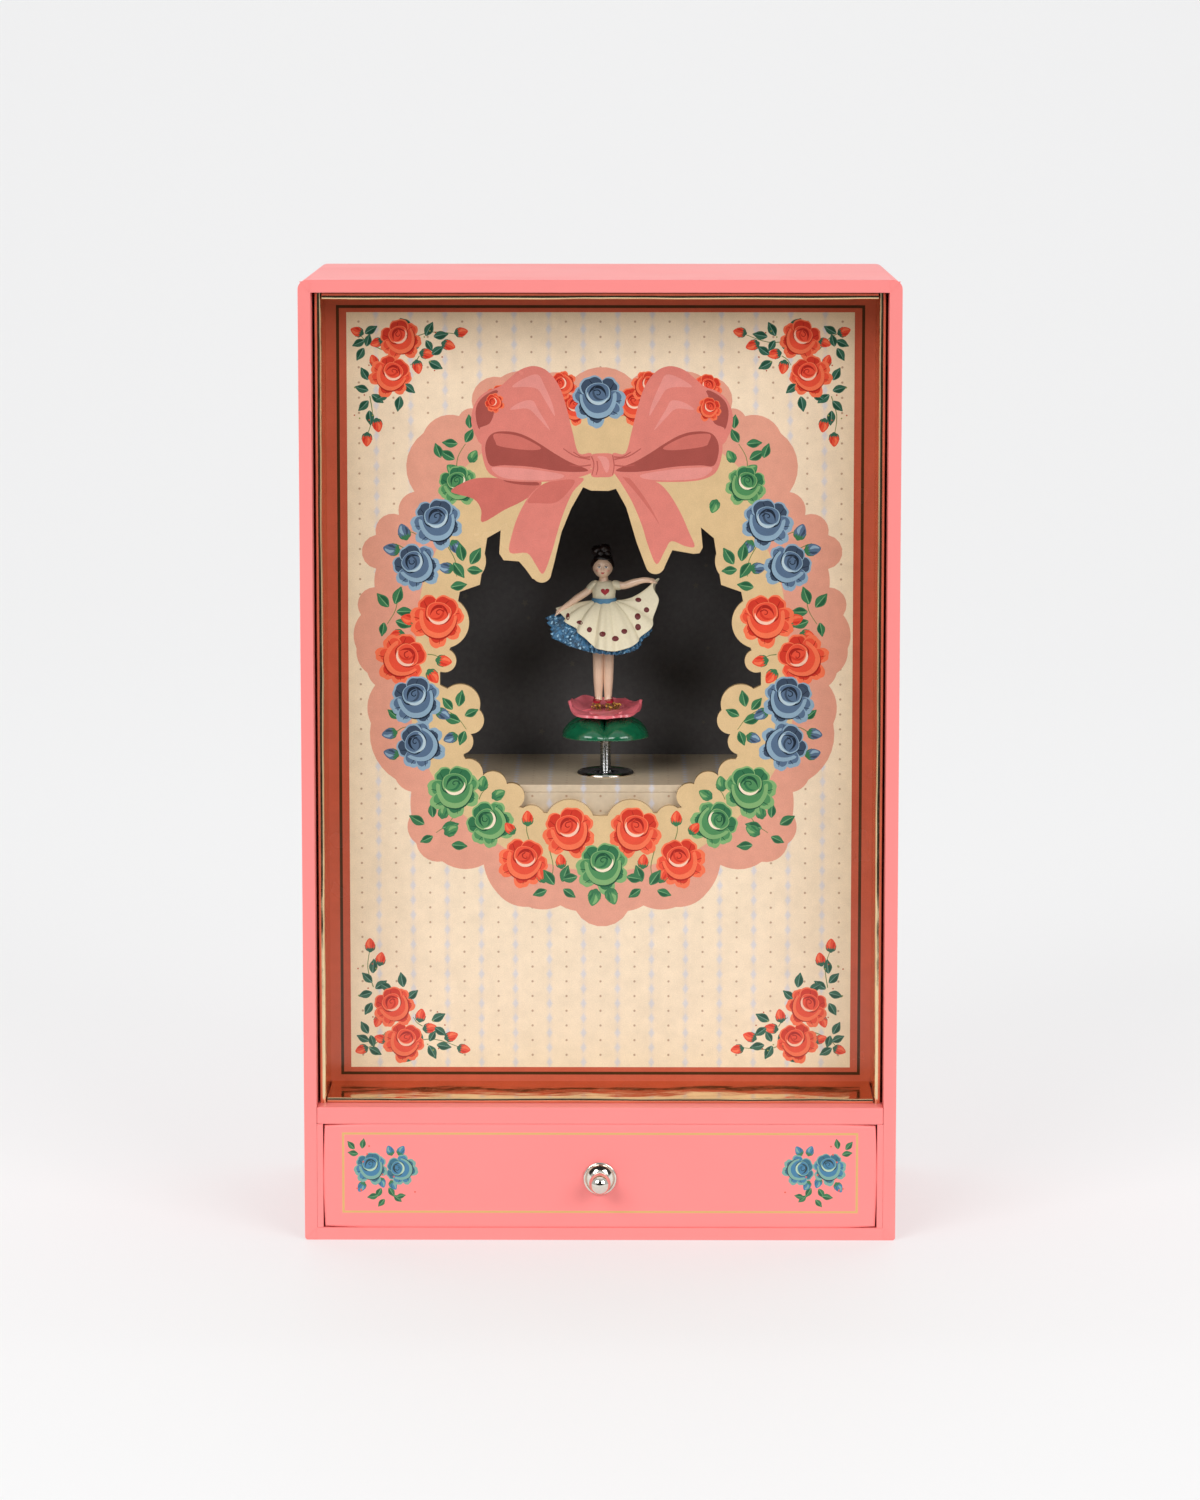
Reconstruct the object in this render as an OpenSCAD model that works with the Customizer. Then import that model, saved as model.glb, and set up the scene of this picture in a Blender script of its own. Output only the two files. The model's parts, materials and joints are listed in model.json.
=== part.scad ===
// Ballerina jewellery box: a paper-wrapped board case with a gold-foil recess, a die-cut scene
// panel, a lined stage with a turning figure, a wind-up musical movement and a drawer.
// X runs across the box, Y from the front to the back, Z up. The origin is the middle of the base.

/* [Case] */
// Width of the case
case_w = 190; // [186:1:200]
// Height of the case
case_h = 309; // [300:1:320]
// Depth of the case, without the knob and the key
case_d = 100; // [100:1:110]
// Thickness of the wrapped wall boards
board_t = 4; // [3.5:0.5:5]
// Thickness of the back board
back_t = 3; // [2:0.5:4]
// Radius of the two upper corners, seen from the front
corner_top_r = 3; // [2:0.5:3.5]
// Radius of the two lower corners, seen from the front
corner_base_r = 1; // [0.5:0.5:2]

/* [Recess] */
// Thickness of the foil-wrapped boards that line the recess
foil_t = 2.4; // [2:0.1:3]
// Thickness of the foil-wrapped board on the recess floor
foil_floor_t = 2; // [1.5:0.1:2.5]
// How far the foil boards sit behind the case's front edge
foil_setback = 6; // [4:0.5:8]
// Gap between the foil boards and the case
foil_gap = 0.75; // [0.5:0.05:1]
// How far the scene panel's face sits behind the case's front edge
panel_setback = 30; // [26:1:32]
// Thickness of the scene panel
panel_t = 2.5; // [2:0.5:3]

/* [Stage] */
// Height of the stage deck above the base
deck_z = 143; // [141:1:145]
// Thickness of the deck and its front board
deck_t = 2.5; // [2:0.5:3]
// Thickness of the dark lining boards
lining_t = 2; // [1.5:0.5:2.5]
// Distance of the spindle to the right of the middle
spindle_x = 1.5; // [-2:0.5:2]
// Distance of the spindle behind the middle of the case
spindle_y = 5; // [4:0.5:6]

/* [Drawer] */
// Height of the drawer bay
bay_h = 34; // [32:1:36]
// Thickness of the shelf over the drawer bay
shelf_t = 5.5; // [5:0.5:6]
// Thickness of the two guide boards beside the drawer
guide_t = 2; // [1.5:0.5:2.5]
// Running gap round the drawer
drawer_gap = 0.5; // [0.4:0.1:0.8]
// Length of the drawer, from its face to its back
drawer_l = 90.5; // [80:0.5:92]
// Radius of the knob's ball
knob_ball_r = 3.45; // [3:0.05:4]

/* [Movement] */
// Height of the mainspring barrel's axis above the base
barrel_z = 90; // [88:1:92]
// Radius of the mainspring barrel
barrel_r = 14; // [13.8:0.1:14.2]
// Teeth of the barrel's crown gear
crown_teeth = 32; // [32]
// Teeth of the pinions that the crown gear drives
pinion_teeth = 10; // [10]
// Module of the crown gear and its pinions
crown_module = 0.8; // [0.8]
// Teeth of the gear on the pinned cylinder
cylinder_gear_teeth = 24; // [24]
// Teeth of the governor's pinion
governor_pinion_teeth = 12; // [12]
// Teeth of the governor's worm wheel
worm_wheel_teeth = 16; // [16]
// Module of the governor's gears
fine_module = 0.6; // [0.6]
// Number of notes on the comb
notes = 18; // [12:1:18]
// Pins on each note's track of the cylinder
pins_per_note = 5; // [3:1:6]

/* [Hidden] */
$fn = 64;

pink = "#f78b8b";
gold = "#c9a86a";
cream = "#ecd9b8";
navy = "#2c3140";
steel = "#b9bcc2";
brass = "#c3a04e";
eps = 0.01;

// Faces of the case
front_y = -case_d / 2;
back_y = case_d / 2;
back_in = back_y - back_t;
inner_x = case_w / 2 - board_t;
top_in = case_h - board_t;
shelf_z = board_t + bay_h;
shelf_top = shelf_z + shelf_t;

// Faces of the recess and the stage
foil_y = front_y + foil_setback;
panel_y = front_y + panel_setback;
panel_back = panel_y + panel_t;
foil_x = inner_x - foil_gap;
foil_in = foil_x - foil_t;
foil_top_z = top_in - foil_gap + 0.25;
deck_under = deck_z - deck_t;

// Drawer
drawer_hw = inner_x - guide_t - drawer_gap;
drawer_z = board_t + 0.4;
drawer_top = shelf_z - drawer_gap;
drawer_face_t = 4;
drawer_wall = 2.5;
drawer_floor_t = 2;
drawer_side_top = drawer_top - 2;
drawer_rear = front_y + drawer_l;
knob_z = 20.4;
knob_reach = 7.2;

// Movement. Its crown gear faces the front; the spindle and the cylinder run across that face.
crown_r = crown_module * crown_teeth / 2;
pinion_r = crown_module * pinion_teeth / 2;
pitch_y = spindle_y + pinion_r;
tip_h = 0.6;
root_h = 0.9;
crown_in = crown_r - 1.5;
crown_out = crown_r + 1.5;
crown_root_y = pitch_y + root_h;
crown_t = 1.5;
drum_y = crown_root_y + crown_t;
drum_l = 15.6;
drum_back = drum_y + drum_l;
bed_y = drum_back + 1.5;
bed_t = 2;
bed_back = bed_y + bed_t;
bed_x0 = -57;
bed_x1 = 19;
bed_z0 = -32;
bed_z1 = 26;
post_places = [[-52, -27], [14, -27], [-38, 21], [14, 21]];
post_r = 3.5;
screw_r = 1.5;
arbor_r = 2;
run = 0.05;
bridge_y = -3;
bridge_t = 1.5;
arm_z = 18.5;

cyl_r = 6.2;
cyl_x0 = -38;
cyl_x1 = -16.5;
cyl_arbor_r = 1.2;
cyl_gear_x = -41.6;
cyl_gear_t = 1.4;
pin_reach = 0.7;
pin_r = 0.22;
note_pitch = (cyl_x1 - cyl_x0 - 2) / notes;

governor_z = fine_module * (cylinder_gear_teeth + governor_pinion_teeth) / 2 + 0.1;
plate_a = -43.6;
plate_b = -55;
plate_t = 1.2;
wheel_x = -48.7;
wheel_t = 1.4;
wheel_r = fine_module * worm_wheel_teeth / 2;
worm_pitch = PI * fine_module;
worm_r = 1.5;
worm_e = 0.45;
fan_z = governor_z + wheel_r + 0.4 + worm_r - worm_e + 0.1;
fan_shaft_r = 0.6;

comb_t = 1;
comb_tip = -cyl_r - pin_reach - 0.13;
comb_foot = -30;
comb_root = -22;
comb_x0 = -39;
comb_x1 = -15.5;
comb_holes = [-35, -19.5];

// Figure and its spring
shaft_r = 1.25;
spring_r = 1.55;
wire_r = 0.25;
spring_z = deck_z + 0.5;
spring_turns = 21;
coil_pitch = 0.49;
spring_top = spring_z + 2 * wire_r + (spring_turns - 1) * coil_pitch;
cap_z = 153.5;
leaf_z = 155.9;
flower_z = 162.1;
feet_z = 166.6;
hem_z = 183.9;
waist_z = 200;
neck_z = 206.7;
head_z = 211.7;
head_r = 3.75;
left_hand = [-16.1, -2, 197.2];
right_hand = [15.8, -2, 206.9];

// How far the drawing of the opening below is moved up
opening_rise = 2.6;
// Cream scallops along the left edge of the opening: [x, z, radius] of each disc
scallops = [
  [-44, 214, 7], [-51, 194, 8.5], [-50.5, 181.5, 3.8], [-45.5, 167.3, 6.5], [-42.3, 162, 4.5],
  [-45.5, 155, 4.2], [-43, 144.5, 4.8], [-35, 140.6, 4.6], [-29, 137, 4.3], [-22.5, 129.5, 4.5],
  [-10, 127.7, 8.2]
];
// Inner corners between those scallops, from the bow's notch down to the middle
left_corners = [
  [-32.2, 224], [-36.6, 221.5], [-39, 206.3], [-45.5, 204], [-46, 201.5], [-48.5, 186],
  [-52, 177.5], [-52, 173.5], [-45, 170], [-42, 160], [-44.5, 150.3], [-40, 143], [-30, 138],
  [-26.8, 133.5], [-18.5, 131.5], [0, 130.5]
];
right_corners = [for (i = [len(left_corners) - 2:-1:1]) [-left_corners[i][0], left_corners[i][1]]];
// Lower edge of the bow's two tails, from right to left
bow_edge = [
  [32.4, 225], [33, 218.4], [32, 216.6], [30, 216.4], [23.2, 217.6], [20.7, 212.2], [17.7, 209.8],
  [14.7, 212], [11.7, 220], [8.3, 231.5], [5, 237.5], [2.5, 236.8], [-3, 236.9], [-5.6, 238],
  [-9.5, 231], [-12.6, 223.4], [-15, 213.3], [-16, 209.5], [-19, 207], [-22, 208.3], [-24, 211.2],
  [-26.3, 213.9], [-31.3, 214.3], [-32.7, 216.5]
];
tail_tips = [[-19, 210.1, 3.1], [17.7, 212.9, 3.1]];

// ---------- Shared shapes ----------

// A flat outline in X and Z, made solid from y0 over the thickness t
module upright(y0, t) translate([0, y0 + t, 0]) rotate([90, 0, 0]) linear_extrude(t) children();

// A shape about the Z axis, turned so that its axis runs along +Y
module along_y() rotate([-90, 0, 0]) children();

// A shape about the Z axis, turned so that its axis runs along +X
module along_x() rotate([0, 90, 0]) children();

module block(x0, x1, y0, y1, z0, z1) translate([x0, y0, z0]) cube([x1 - x0, y1 - y0, z1 - z0]);

// A rod between two points
module rod(a, b, ra, rb) {
  d = b - a;
  length = norm(d);
  translate(a) rotate([0, acos(d[2] / length), atan2(d[1], d[0])]) cylinder(length, ra, rb);
}

// Outline of a gear with slim straight-sided teeth, one tooth centred on +X
module gear_outline(teeth, mod, half_tip, half_root) {
  r = mod * teeth / 2;
  tip = r + 0.75 * mod;
  root = r - 1.1 * mod;
  step = 360 / teeth;
  a_tip = half_tip / tip * 180 / PI;
  a_root = half_root / root * 180 / PI;
  polygon([
    for (i = [0:teeth - 1], c = [[root, -a_root], [tip, -a_tip], [tip, a_tip], [root, a_root]])
      let (a = i * step + c[1]) [c[0] * cos(a), c[0] * sin(a)]
  ]);
}

// Places a shape on the barrel's axis, which runs along Y
module at_barrel() translate([spindle_x, 0, barrel_z]) children();

// Places a shape on the spindle's axis, which runs along Z
module at_spindle() translate([spindle_x, spindle_y, 0]) children();

// A slotted screw along +Z, its head below z = 0
module screw(r, length, head_r, head_h) difference() {
  union() {
    cylinder(length, r = r);
    translate([0, 0, -head_h]) cylinder(head_h, r = head_r);
  }
  translate([-head_r, -head_r / 8, -head_h - eps]) cube([2 * head_r, head_r / 4, head_h / 2]);
}

// ---------- Case ----------

module case_outline() {
  translate([-case_w / 2, corner_base_r]) square([case_w, case_h - corner_top_r - corner_base_r]);
  translate([-case_w / 2 + corner_top_r, case_h / 2])
    square([case_w - 2 * corner_top_r, case_h / 2]);
  translate([-case_w / 2 + corner_base_r, 0]) square([case_w - 2 * corner_base_r, case_h / 2]);
  for (s = [-1, 1]) {
    translate([s * (case_w / 2 - corner_top_r), case_h - corner_top_r]) circle(corner_top_r);
    translate([s * (case_w / 2 - corner_base_r), corner_base_r]) circle(corner_base_r);
  }
}

module case_shell() color(pink) difference() {
  upright(front_y, case_d) case_outline();
  block(-inner_x, inner_x, front_y - 1, back_y + 1, board_t, top_in);
}

module drawer_shelf() color(pink) block(-inner_x, inner_x, front_y, back_in, shelf_z, shelf_top);

module back_panel() color(pink) difference() {
  block(-inner_x, inner_x, back_in, back_y, board_t, top_in);
  at_barrel() {
    translate([0, back_in - 1, 0]) along_y() cylinder(back_t + 2, r = 5);
    for (p = post_places)
      translate([p[0], back_in - 1, p[1]]) along_y() cylinder(back_t + 2, r = screw_r + 0.1);
  }
}

module drawer_guide(side) color(pink)
  block(side * (inner_x - guide_t / 2) - guide_t / 2, side * (inner_x - guide_t / 2) + guide_t / 2,
    front_y, back_in, board_t, shelf_z);

// ---------- Recess ----------

module foil_side(side) color(gold)
  block(side * (foil_x - foil_t / 2) - foil_t / 2, side * (foil_x - foil_t / 2) + foil_t / 2,
    foil_y, panel_y, shelf_top, foil_top_z);

module foil_top() color(gold)
  block(-foil_in, foil_in, foil_y, panel_y, foil_top_z - foil_t, foil_top_z);

module foil_floor() color(gold)
  block(-foil_in, foil_in, foil_y, panel_y, shelf_top, shelf_top + foil_floor_t);

module stage_opening() translate([0, opening_rise]) difference() {
  polygon(concat(left_corners, right_corners, bow_edge));
  for (s = scallops, side = [-1, 1]) translate([-side * s[0], s[1]]) circle(s[2]);
  for (t = tail_tips) translate([t[0], t[1]]) circle(t[2]);
}

module scene_panel() color(cream) upright(panel_y, panel_t) difference() {
  translate([-inner_x, shelf_top]) square([2 * inner_x, top_in - shelf_top]);
  stage_opening();
}

// ---------- Stage ----------

module stage_fascia() color(cream)
  block(-inner_x, inner_x, panel_back, panel_back + deck_t, shelf_top, deck_under);

module stage_deck() color(cream) difference() {
  block(-inner_x, inner_x, panel_back, back_in, deck_under, deck_z);
  at_spindle() translate([0, 0, deck_under - 1]) cylinder(deck_t + 2, r = 3.5);
}

module deck_support(side) color(cream)
  block(side * (inner_x - deck_t / 2) - deck_t / 2, side * (inner_x - deck_t / 2) + deck_t / 2,
    panel_back + deck_t, back_in, shelf_top, deck_under);

module lining_back() color(navy)
  block(-inner_x, inner_x, back_in - lining_t, back_in, deck_z, top_in);

module lining_side(side) color(navy)
  block(side * (inner_x - lining_t / 2) - lining_t / 2, side * (inner_x - lining_t / 2) + lining_t / 2,
    panel_back, back_in - lining_t, deck_z, top_in);

module lining_top() color(navy)
  block(-inner_x + lining_t, inner_x - lining_t, panel_back, back_in - lining_t,
    top_in - lining_t, top_in);

module spindle_escutcheon() color(steel) at_spindle() translate([0, 0, deck_z]) rotate_extrude()
  polygon([[3, 0], [9.4, 0], [9.4, 0.5], [8.9, 1.1], [8.2, 1.2], [7, 0.7], [3, 0.5]]);

module spindle_bush() color("#202020") at_spindle() translate([0, 0, deck_under]) rotate_extrude()
  polygon([[shaft_r + run, -1.4], [6, -1.4], [6, 0], [3.5, 0], [3.5, deck_t - 0.2],
    [shaft_r + run, deck_t - 0.2]]);

module key_grommet() color(steel) at_barrel() translate([0, back_in, 0]) along_y() rotate_extrude()
  polygon([[arbor_r + run, -0.5], [5, -0.5], [5, back_t], [7, back_t], [6.6, back_t + 0.8],
    [arbor_r + run, back_t + 0.8]]);

// ---------- Movement, fixed parts ----------

module bedplate() color("#8f9298") at_barrel() difference() {
  block(bed_x0, bed_x1, bed_y, bed_back, bed_z0, bed_z1);
  translate([0, bed_y - 1, 0]) along_y() cylinder(bed_t + 2, r = arbor_r + run);
  for (p = post_places)
    translate([p[0], bed_y - 1, p[1]]) along_y() cylinder(bed_t + 2, r = screw_r);
}

module standoff_posts() color(brass) at_barrel() for (p = post_places)
  translate([p[0], bed_back, p[1]]) along_y() difference() {
    cylinder(back_in - bed_back, r = post_r);
    translate([0, 0, -1]) cylinder(back_in - bed_back + 2, r = screw_r + 0.1);
  }

module mounting_screws() color(steel) at_barrel() for (p = post_places)
  translate([p[0], back_y, p[1]]) rotate([90, 0, 0]) screw(screw_r, back_y - bed_y, 2.8, 1.6);

// A strap in front of the barrel: it carries the arbor's nose, both spindle bearings
// and the cylinder's right-hand bearing
module front_bridge() color(brass) at_barrel() difference() {
  union() {
    block(-10, 10, bridge_y, bridge_y + bridge_t, -arm_z - bridge_t, arm_z + bridge_t);
    for (z = [-arm_z - bridge_t, arm_z])
      block(-7, 7, bridge_y + bridge_t - eps, bed_y, z, z + bridge_t);
    block(-4, 4, bridge_y + bridge_t - eps, spindle_y + 2.6, 7, 8.5);
    block(-10, -8.5, bridge_y + bridge_t - eps, spindle_y + 2.6, -3, 3);
  }
  translate([0, bridge_y - 1, 0]) along_y() cylinder(bridge_t + 2, r = arbor_r + run);
  translate([0, spindle_y, 0]) cylinder(arm_z + bridge_t + 1, r = shaft_r + run);
  translate([-12, spindle_y, 0]) along_x() cylinder(5, r = cyl_arbor_r + run);
}

module governor_frame() color("#9c9fa4") at_barrel() difference() {
  union() {
    for (x = [plate_a, plate_b]) block(x, x + plate_t, bridge_y, bed_y, -5, 14.5);
    block(plate_b, plate_a + plate_t, bed_y - 1.5, bed_y, -5, 24);
    block(plate_b, plate_a - 1, bridge_y, bridge_y + 1.5, 10, fan_z + 3);
  }
  translate([plate_a - 1, spindle_y, 0]) along_x() cylinder(3, r = cyl_arbor_r + run);
  translate([plate_b - 1, spindle_y, governor_z]) along_x() cylinder(14, r = 0.8 + run);
  translate([wheel_x, bridge_y - 1, fan_z]) along_y() cylinder(34, r = fan_shaft_r + run);
}

module comb_base() color("#8a8d92") at_barrel() difference() {
  block(comb_x0, comb_x1, spindle_y + comb_t / 2, bed_y, comb_foot, comb_root - 1);
  for (x = comb_holes) translate([x, spindle_y, (comb_foot + comb_root) / 2 - 0.5])
    along_y() cylinder(9, r = 1);
}

// The steel comb: one tooth a note, the bass teeth longest
module comb() color(steel) at_barrel() difference() {
  upright(spindle_y - comb_t / 2, comb_t) difference() {
    translate([comb_x0, comb_foot]) square([comb_x1 - comb_x0, comb_tip - comb_foot]);
    for (i = [0:notes]) translate([cyl_x0 + 1 + (i - 0.11) * note_pitch, comb_root + i * 0.25])
      square([0.22 * note_pitch, 30]);
    translate([comb_x0 - 1, comb_root]) square([cyl_x0 + 2 - comb_x0 - 0.1 * note_pitch, 30]);
    translate([cyl_x1 - 1 + 0.1 * note_pitch, comb_root]) square([5, 30]);
  }
  for (x = comb_holes) translate([x, spindle_y - 2, (comb_foot + comb_root) / 2 - 0.5])
    along_y() cylinder(4, r = 1.05);
}

module movement_screws() color(steel) at_barrel() for (x = comb_holes)
  translate([x, spindle_y - comb_t / 2, (comb_foot + comb_root) / 2 - 0.5])
    along_y() screw(0.98, 7.5, 1.9, 1.3);

// ---------- Movement, turning parts ----------

module spring_barrel() color(brass) at_barrel() translate([0, drum_y, 0]) along_y() difference() {
  cylinder(drum_l, r = barrel_r);
  translate([0, 0, -1]) cylinder(drum_l, r = barrel_r - 1);
  translate([0, 0, -1]) cylinder(drum_l + 2, r = arbor_r + run);
}

// Cover of the barrel, with teeth that stand up from its front face
module crown_gear() color(brass) at_barrel() difference() {
  union() {
    translate([0, crown_root_y, 0]) along_y() cylinder(crown_t, r = crown_out);
    for (i = [0:crown_teeth - 1]) rotate([0, (i + 0.5) * 360 / crown_teeth, 0])
      translate([0, 0, crown_in]) linear_extrude(crown_out - crown_in - 0.05) polygon([
        [-0.68, crown_root_y + 0.2], [-0.68, crown_root_y], [-0.34, pitch_y - tip_h],
        [0.34, pitch_y - tip_h], [0.68, crown_root_y], [0.68, crown_root_y + 0.2]
      ]);
  }
  translate([0, pitch_y - 5, 0]) along_y() cylinder(10, r = arbor_r + run);
}

// A point on the mainspring's spiral, off outside it
function coil_point(i, off) = let (a = i * 12, r = 3 + 9.2 * i / 195 + off) [r * cos(a), r * sin(a)];

// The coiled strip inside the barrel
module mainspring() color("#6f7480") at_barrel() upright(drum_y + 1.5, 11)
  polygon(concat([for (i = [0:195]) coil_point(i, 0)], [for (i = [195:-1:0]) coil_point(i, 0.5)]));

module winding_arbor() color(steel) at_barrel() translate([0, bridge_y - 0.5, 0])
  along_y() cylinder(back_y + 5 - bridge_y, r = arbor_r);

module winding_key() color(steel) at_barrel() {
  wing_y = back_y + 13;
  difference() {
    union() {
      translate([0, back_y + 1.6, 0]) along_y() cylinder(8, r = 3.2);
      translate([-0.8, 0, 0]) rotate([90, 0, 90]) linear_extrude(1.6) difference() {
        union() {
          for (s = [-1, 1]) translate([wing_y, s * 6]) circle(5.2);
          translate([back_y + 6, -3]) square([wing_y - back_y - 3, 6]);
        }
        for (s = [-1, 1]) translate([wing_y, s * 6.4]) circle(2.4);
      }
    }
    translate([0, back_y, 0]) along_y() cylinder(4.6, r = arbor_r);
  }
}

// Turns of the pins round the cylinder, spread by a fixed rule
function pin_angle(note, pin) = (note * 137 + pin * 360 / pins_per_note + 29 * sin(note * 77)) % 360;

module pin_cylinder() color(brass) at_barrel() translate([0, spindle_y, 0]) difference() {
  union() {
    translate([cyl_x0, 0, 0]) along_x() cylinder(cyl_x1 - cyl_x0, r = cyl_r);
    for (n = [0:notes - 1], p = [0:pins_per_note - 1])
      translate([cyl_x0 + 1 + (n + 0.5) * note_pitch, 0, 0]) rotate([pin_angle(n, p), 0, 0])
        translate([0, 0, cyl_r - 0.5]) cylinder(pin_reach + 0.5, r = pin_r, $fn = 16);
  }
  translate([cyl_x0 - 1, 0, 0]) along_x() cylinder(cyl_x1 - cyl_x0 + 2, r = cyl_arbor_r);
}

module cylinder_arbor() color(steel) at_barrel() translate([0, spindle_y, 0]) {
  translate([plate_a + 0.1, 0, 0]) along_x() cylinder(-8.4 - plate_a, r = cyl_arbor_r);
  translate([-crown_r - 1.3, 0, 0]) rotate([90, 0, 90]) linear_extrude(2.6)
    gear_outline(pinion_teeth, crown_module, 0.24, 0.5);
}

module cylinder_gear() color(brass) at_barrel() translate([cyl_gear_x, spindle_y, 0]) difference() {
  rotate([90, 0, 90]) linear_extrude(cyl_gear_t) rotate(90)
    gear_outline(cylinder_gear_teeth, fine_module, 0.2, 0.42);
  translate([-1, 0, 0]) along_x() cylinder(cyl_gear_t + 2, r = cyl_arbor_r);
}

module governor_arbor() color(steel) at_barrel() translate([0, spindle_y, governor_z]) {
  translate([plate_b, 0, 0]) along_x() cylinder(15.5, r = 0.8);
  translate([cyl_gear_x - 0.2, 0, 0]) rotate([90, 0, 90]) linear_extrude(2)
    rotate(90 + 180 / governor_pinion_teeth)
      gear_outline(governor_pinion_teeth, fine_module, 0.18, 0.4);
}

module worm_wheel() color(brass) at_barrel()
  translate([wheel_x - wheel_t / 2, spindle_y, governor_z]) difference() {
    rotate([90, 0, 90]) linear_extrude(wheel_t) rotate(90 + 180 / worm_wheel_teeth)
      gear_outline(worm_wheel_teeth, fine_module, 0.12, 0.34);
    translate([-1, 0, 0]) along_x() cylinder(wheel_t + 2, r = 0.8);
  }

module fan_worm() color(steel) at_barrel() translate([wheel_x, 0, fan_z]) along_y() {
  translate([0, 0, bridge_y + 0.1]) cylinder(bed_y - bridge_y - 0.3, r = fan_shaft_r, $fn = 16);
  translate([0, 0, spindle_y - 1.5 * worm_pitch])
    linear_extrude(3 * worm_pitch, twist = -3 * 360, slices = 30)
      translate([0, -worm_e]) circle(worm_r, $fn = 12);
}

// Two thin vanes that brake the movement
module fan() color("#d8d8d8") at_barrel() translate([wheel_x, 0, fan_z]) along_y() difference() {
  union() {
    translate([0, 0, 13]) cylinder(9, r = 1.1);
    translate([-4.6, -0.2, 13.5]) cube([9.2, 0.4, 8]);
  }
  translate([0, 0, 12]) cylinder(11, r = fan_shaft_r);
}

// ---------- Spindle and figure ----------

module spindle_shaft() color(steel) at_spindle() {
  translate([0, 0, barrel_z + 6.6]) cylinder(deck_z + 3.2 - barrel_z - 6.6, r = shaft_r);
  translate([0, 0, deck_z]) cylinder(0.5, r = 2.2);
}

module spindle_pinion() color("#e9e2cf") at_spindle()
  translate([0, 0, barrel_z + crown_r - 1.3]) difference() {
    linear_extrude(2.6) rotate(90) gear_outline(pinion_teeth, crown_module, 0.24, 0.5);
    translate([0, 0, -1]) cylinder(5, r = shaft_r);
  }

module coil_spring() color(steel) at_spindle() translate([0, 0, spring_z + wire_r]) rotate_extrude()
  for (i = [0:spring_turns - 1]) translate([spring_r, i * coil_pitch]) circle(wire_r, $fn = 24);

module spring_cap() color(steel) at_spindle() {
  translate([0, 0, cap_z + 0.4]) rotate_extrude()
    polygon([[0, 0], [3, 0], [3.95, 0.6], [3.95, leaf_z - cap_z - 0.4], [0, leaf_z - cap_z - 0.4]]);
  translate([0, 0, cap_z - 2.4]) cylinder(2.9, r = shaft_r);
}

module leaf_base() color("#136b45") at_spindle() rotate_extrude()
  polygon([[0, leaf_z], [15.2, leaf_z], [15.4, leaf_z + 0.9], [14, leaf_z + 3.3], [11, leaf_z + 5.2],
    [7.5, flower_z], [0, flower_z]]);

module flower() color("#e2707a") at_spindle() rotate_extrude()
  polygon([[0, flower_z], [7.5, flower_z], [11.5, flower_z + 3.4], [13.1, flower_z + 6.5],
    [11.6, flower_z + 6.1], [8, feet_z], [0, feet_z]]);

// Shoes, legs, trunk, neck, head, arms and hands
module figure_body() color("#e8bfa5") at_spindle() {
  for (s = [-1, 1]) {
    translate([s * 1.9, -0.8, feet_z + 1.6]) sphere(1.55);
    rod([s * 1.9, 0, feet_z + 1], [s * 2.1, 0, hem_z + 3], 1.4, 2);
  }
  rotate_extrude() polygon([[0, hem_z + 1], [4, hem_z + 1], [3.3, waist_z], [3.7, neck_z],
    [1.4, neck_z + 0.6], [1.4, head_z - 2], [0, head_z - 2]]);
  translate([0, 0, head_z]) sphere(head_r);
  for (h = [left_hand, right_hand]) {
    rod([h[0] > 0 ? 3 : -3, 0, 205.5], h, 1.5, 0.95);
    translate(h) sphere(1.15);
  }
}

// Bodice, puff sleeves and the skirt, with its two sides held out
module figure_dress() color("#e9e2cb") at_spindle() {
  rotate_extrude() polygon([[3.8, 203.7], [4.8, 203.7], [3.9, waist_z], [6, 196.7], [10, 191],
    [14, hem_z], [13.2, hem_z - 0.3], [9, 190.1], [5.4, 194.8], [3.8, 197.2]]);
  for (h = [left_hand, right_hand]) sleeve(h);
  upright(-0.7, 1) polygon([[-5.2, 197.6], [-15.5, 195.3], [-16, 192.4], [-13.6, 185.8], [-10, 190.2]]);
  upright(-0.7, 1) polygon([[5.2, 197.6], [15.2, 204.6], [17.6, 199.1], [16.4, 192.4], [13.4, 186],
    [9.5, 190.5]]);
}

// A puff sleeve round the upper end of an arm
module sleeve(hand) {
  start = [hand[0] > 0 ? 3 : -3, 0, 205.5];
  d = hand - start;
  translate(start) rotate([0, acos(d[2] / norm(d)), atan2(d[1], d[0])]) rotate_extrude()
    polygon([[1.55, 2.2], [2.4, 2.2], [2.8, 3.7], [2.5, 5.5], [1.7, 6.3], [1.55, 6.3]]);
}

module figure_petticoat() color("#3f7fa6") at_spindle() rotate_extrude()
  polygon([[5.2, 194.2], [9, 189.4], [13.2, 183.2], [15.6, 182.4], [14.9, 181.6], [12.4, 182.2],
    [8, 188.3], [5.2, 192.1]]);

module figure_hair() color("#1d1517") at_spindle() difference() {
  union() {
    translate([0, 0.5, head_z + 0.35]) sphere(head_r + 0.25);
    translate([0, 0.6, head_z + head_r + 1.6]) sphere(2);
  }
  translate([0, 0, head_z]) sphere(head_r);
  translate([-5, -8, head_z - 6]) cube([10, 8, 7.6]);
  translate([-5, -5, head_z - 6]) cube([10, 12, 3]);
}

// ---------- Drawer ----------

module drawer_front() color(pink) difference() {
  block(-drawer_hw, drawer_hw, front_y, front_y + drawer_face_t, drawer_z, drawer_top);
  translate([0, front_y - 1, knob_z]) along_y() cylinder(drawer_face_t + 2, r = 1.3);
}

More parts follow.
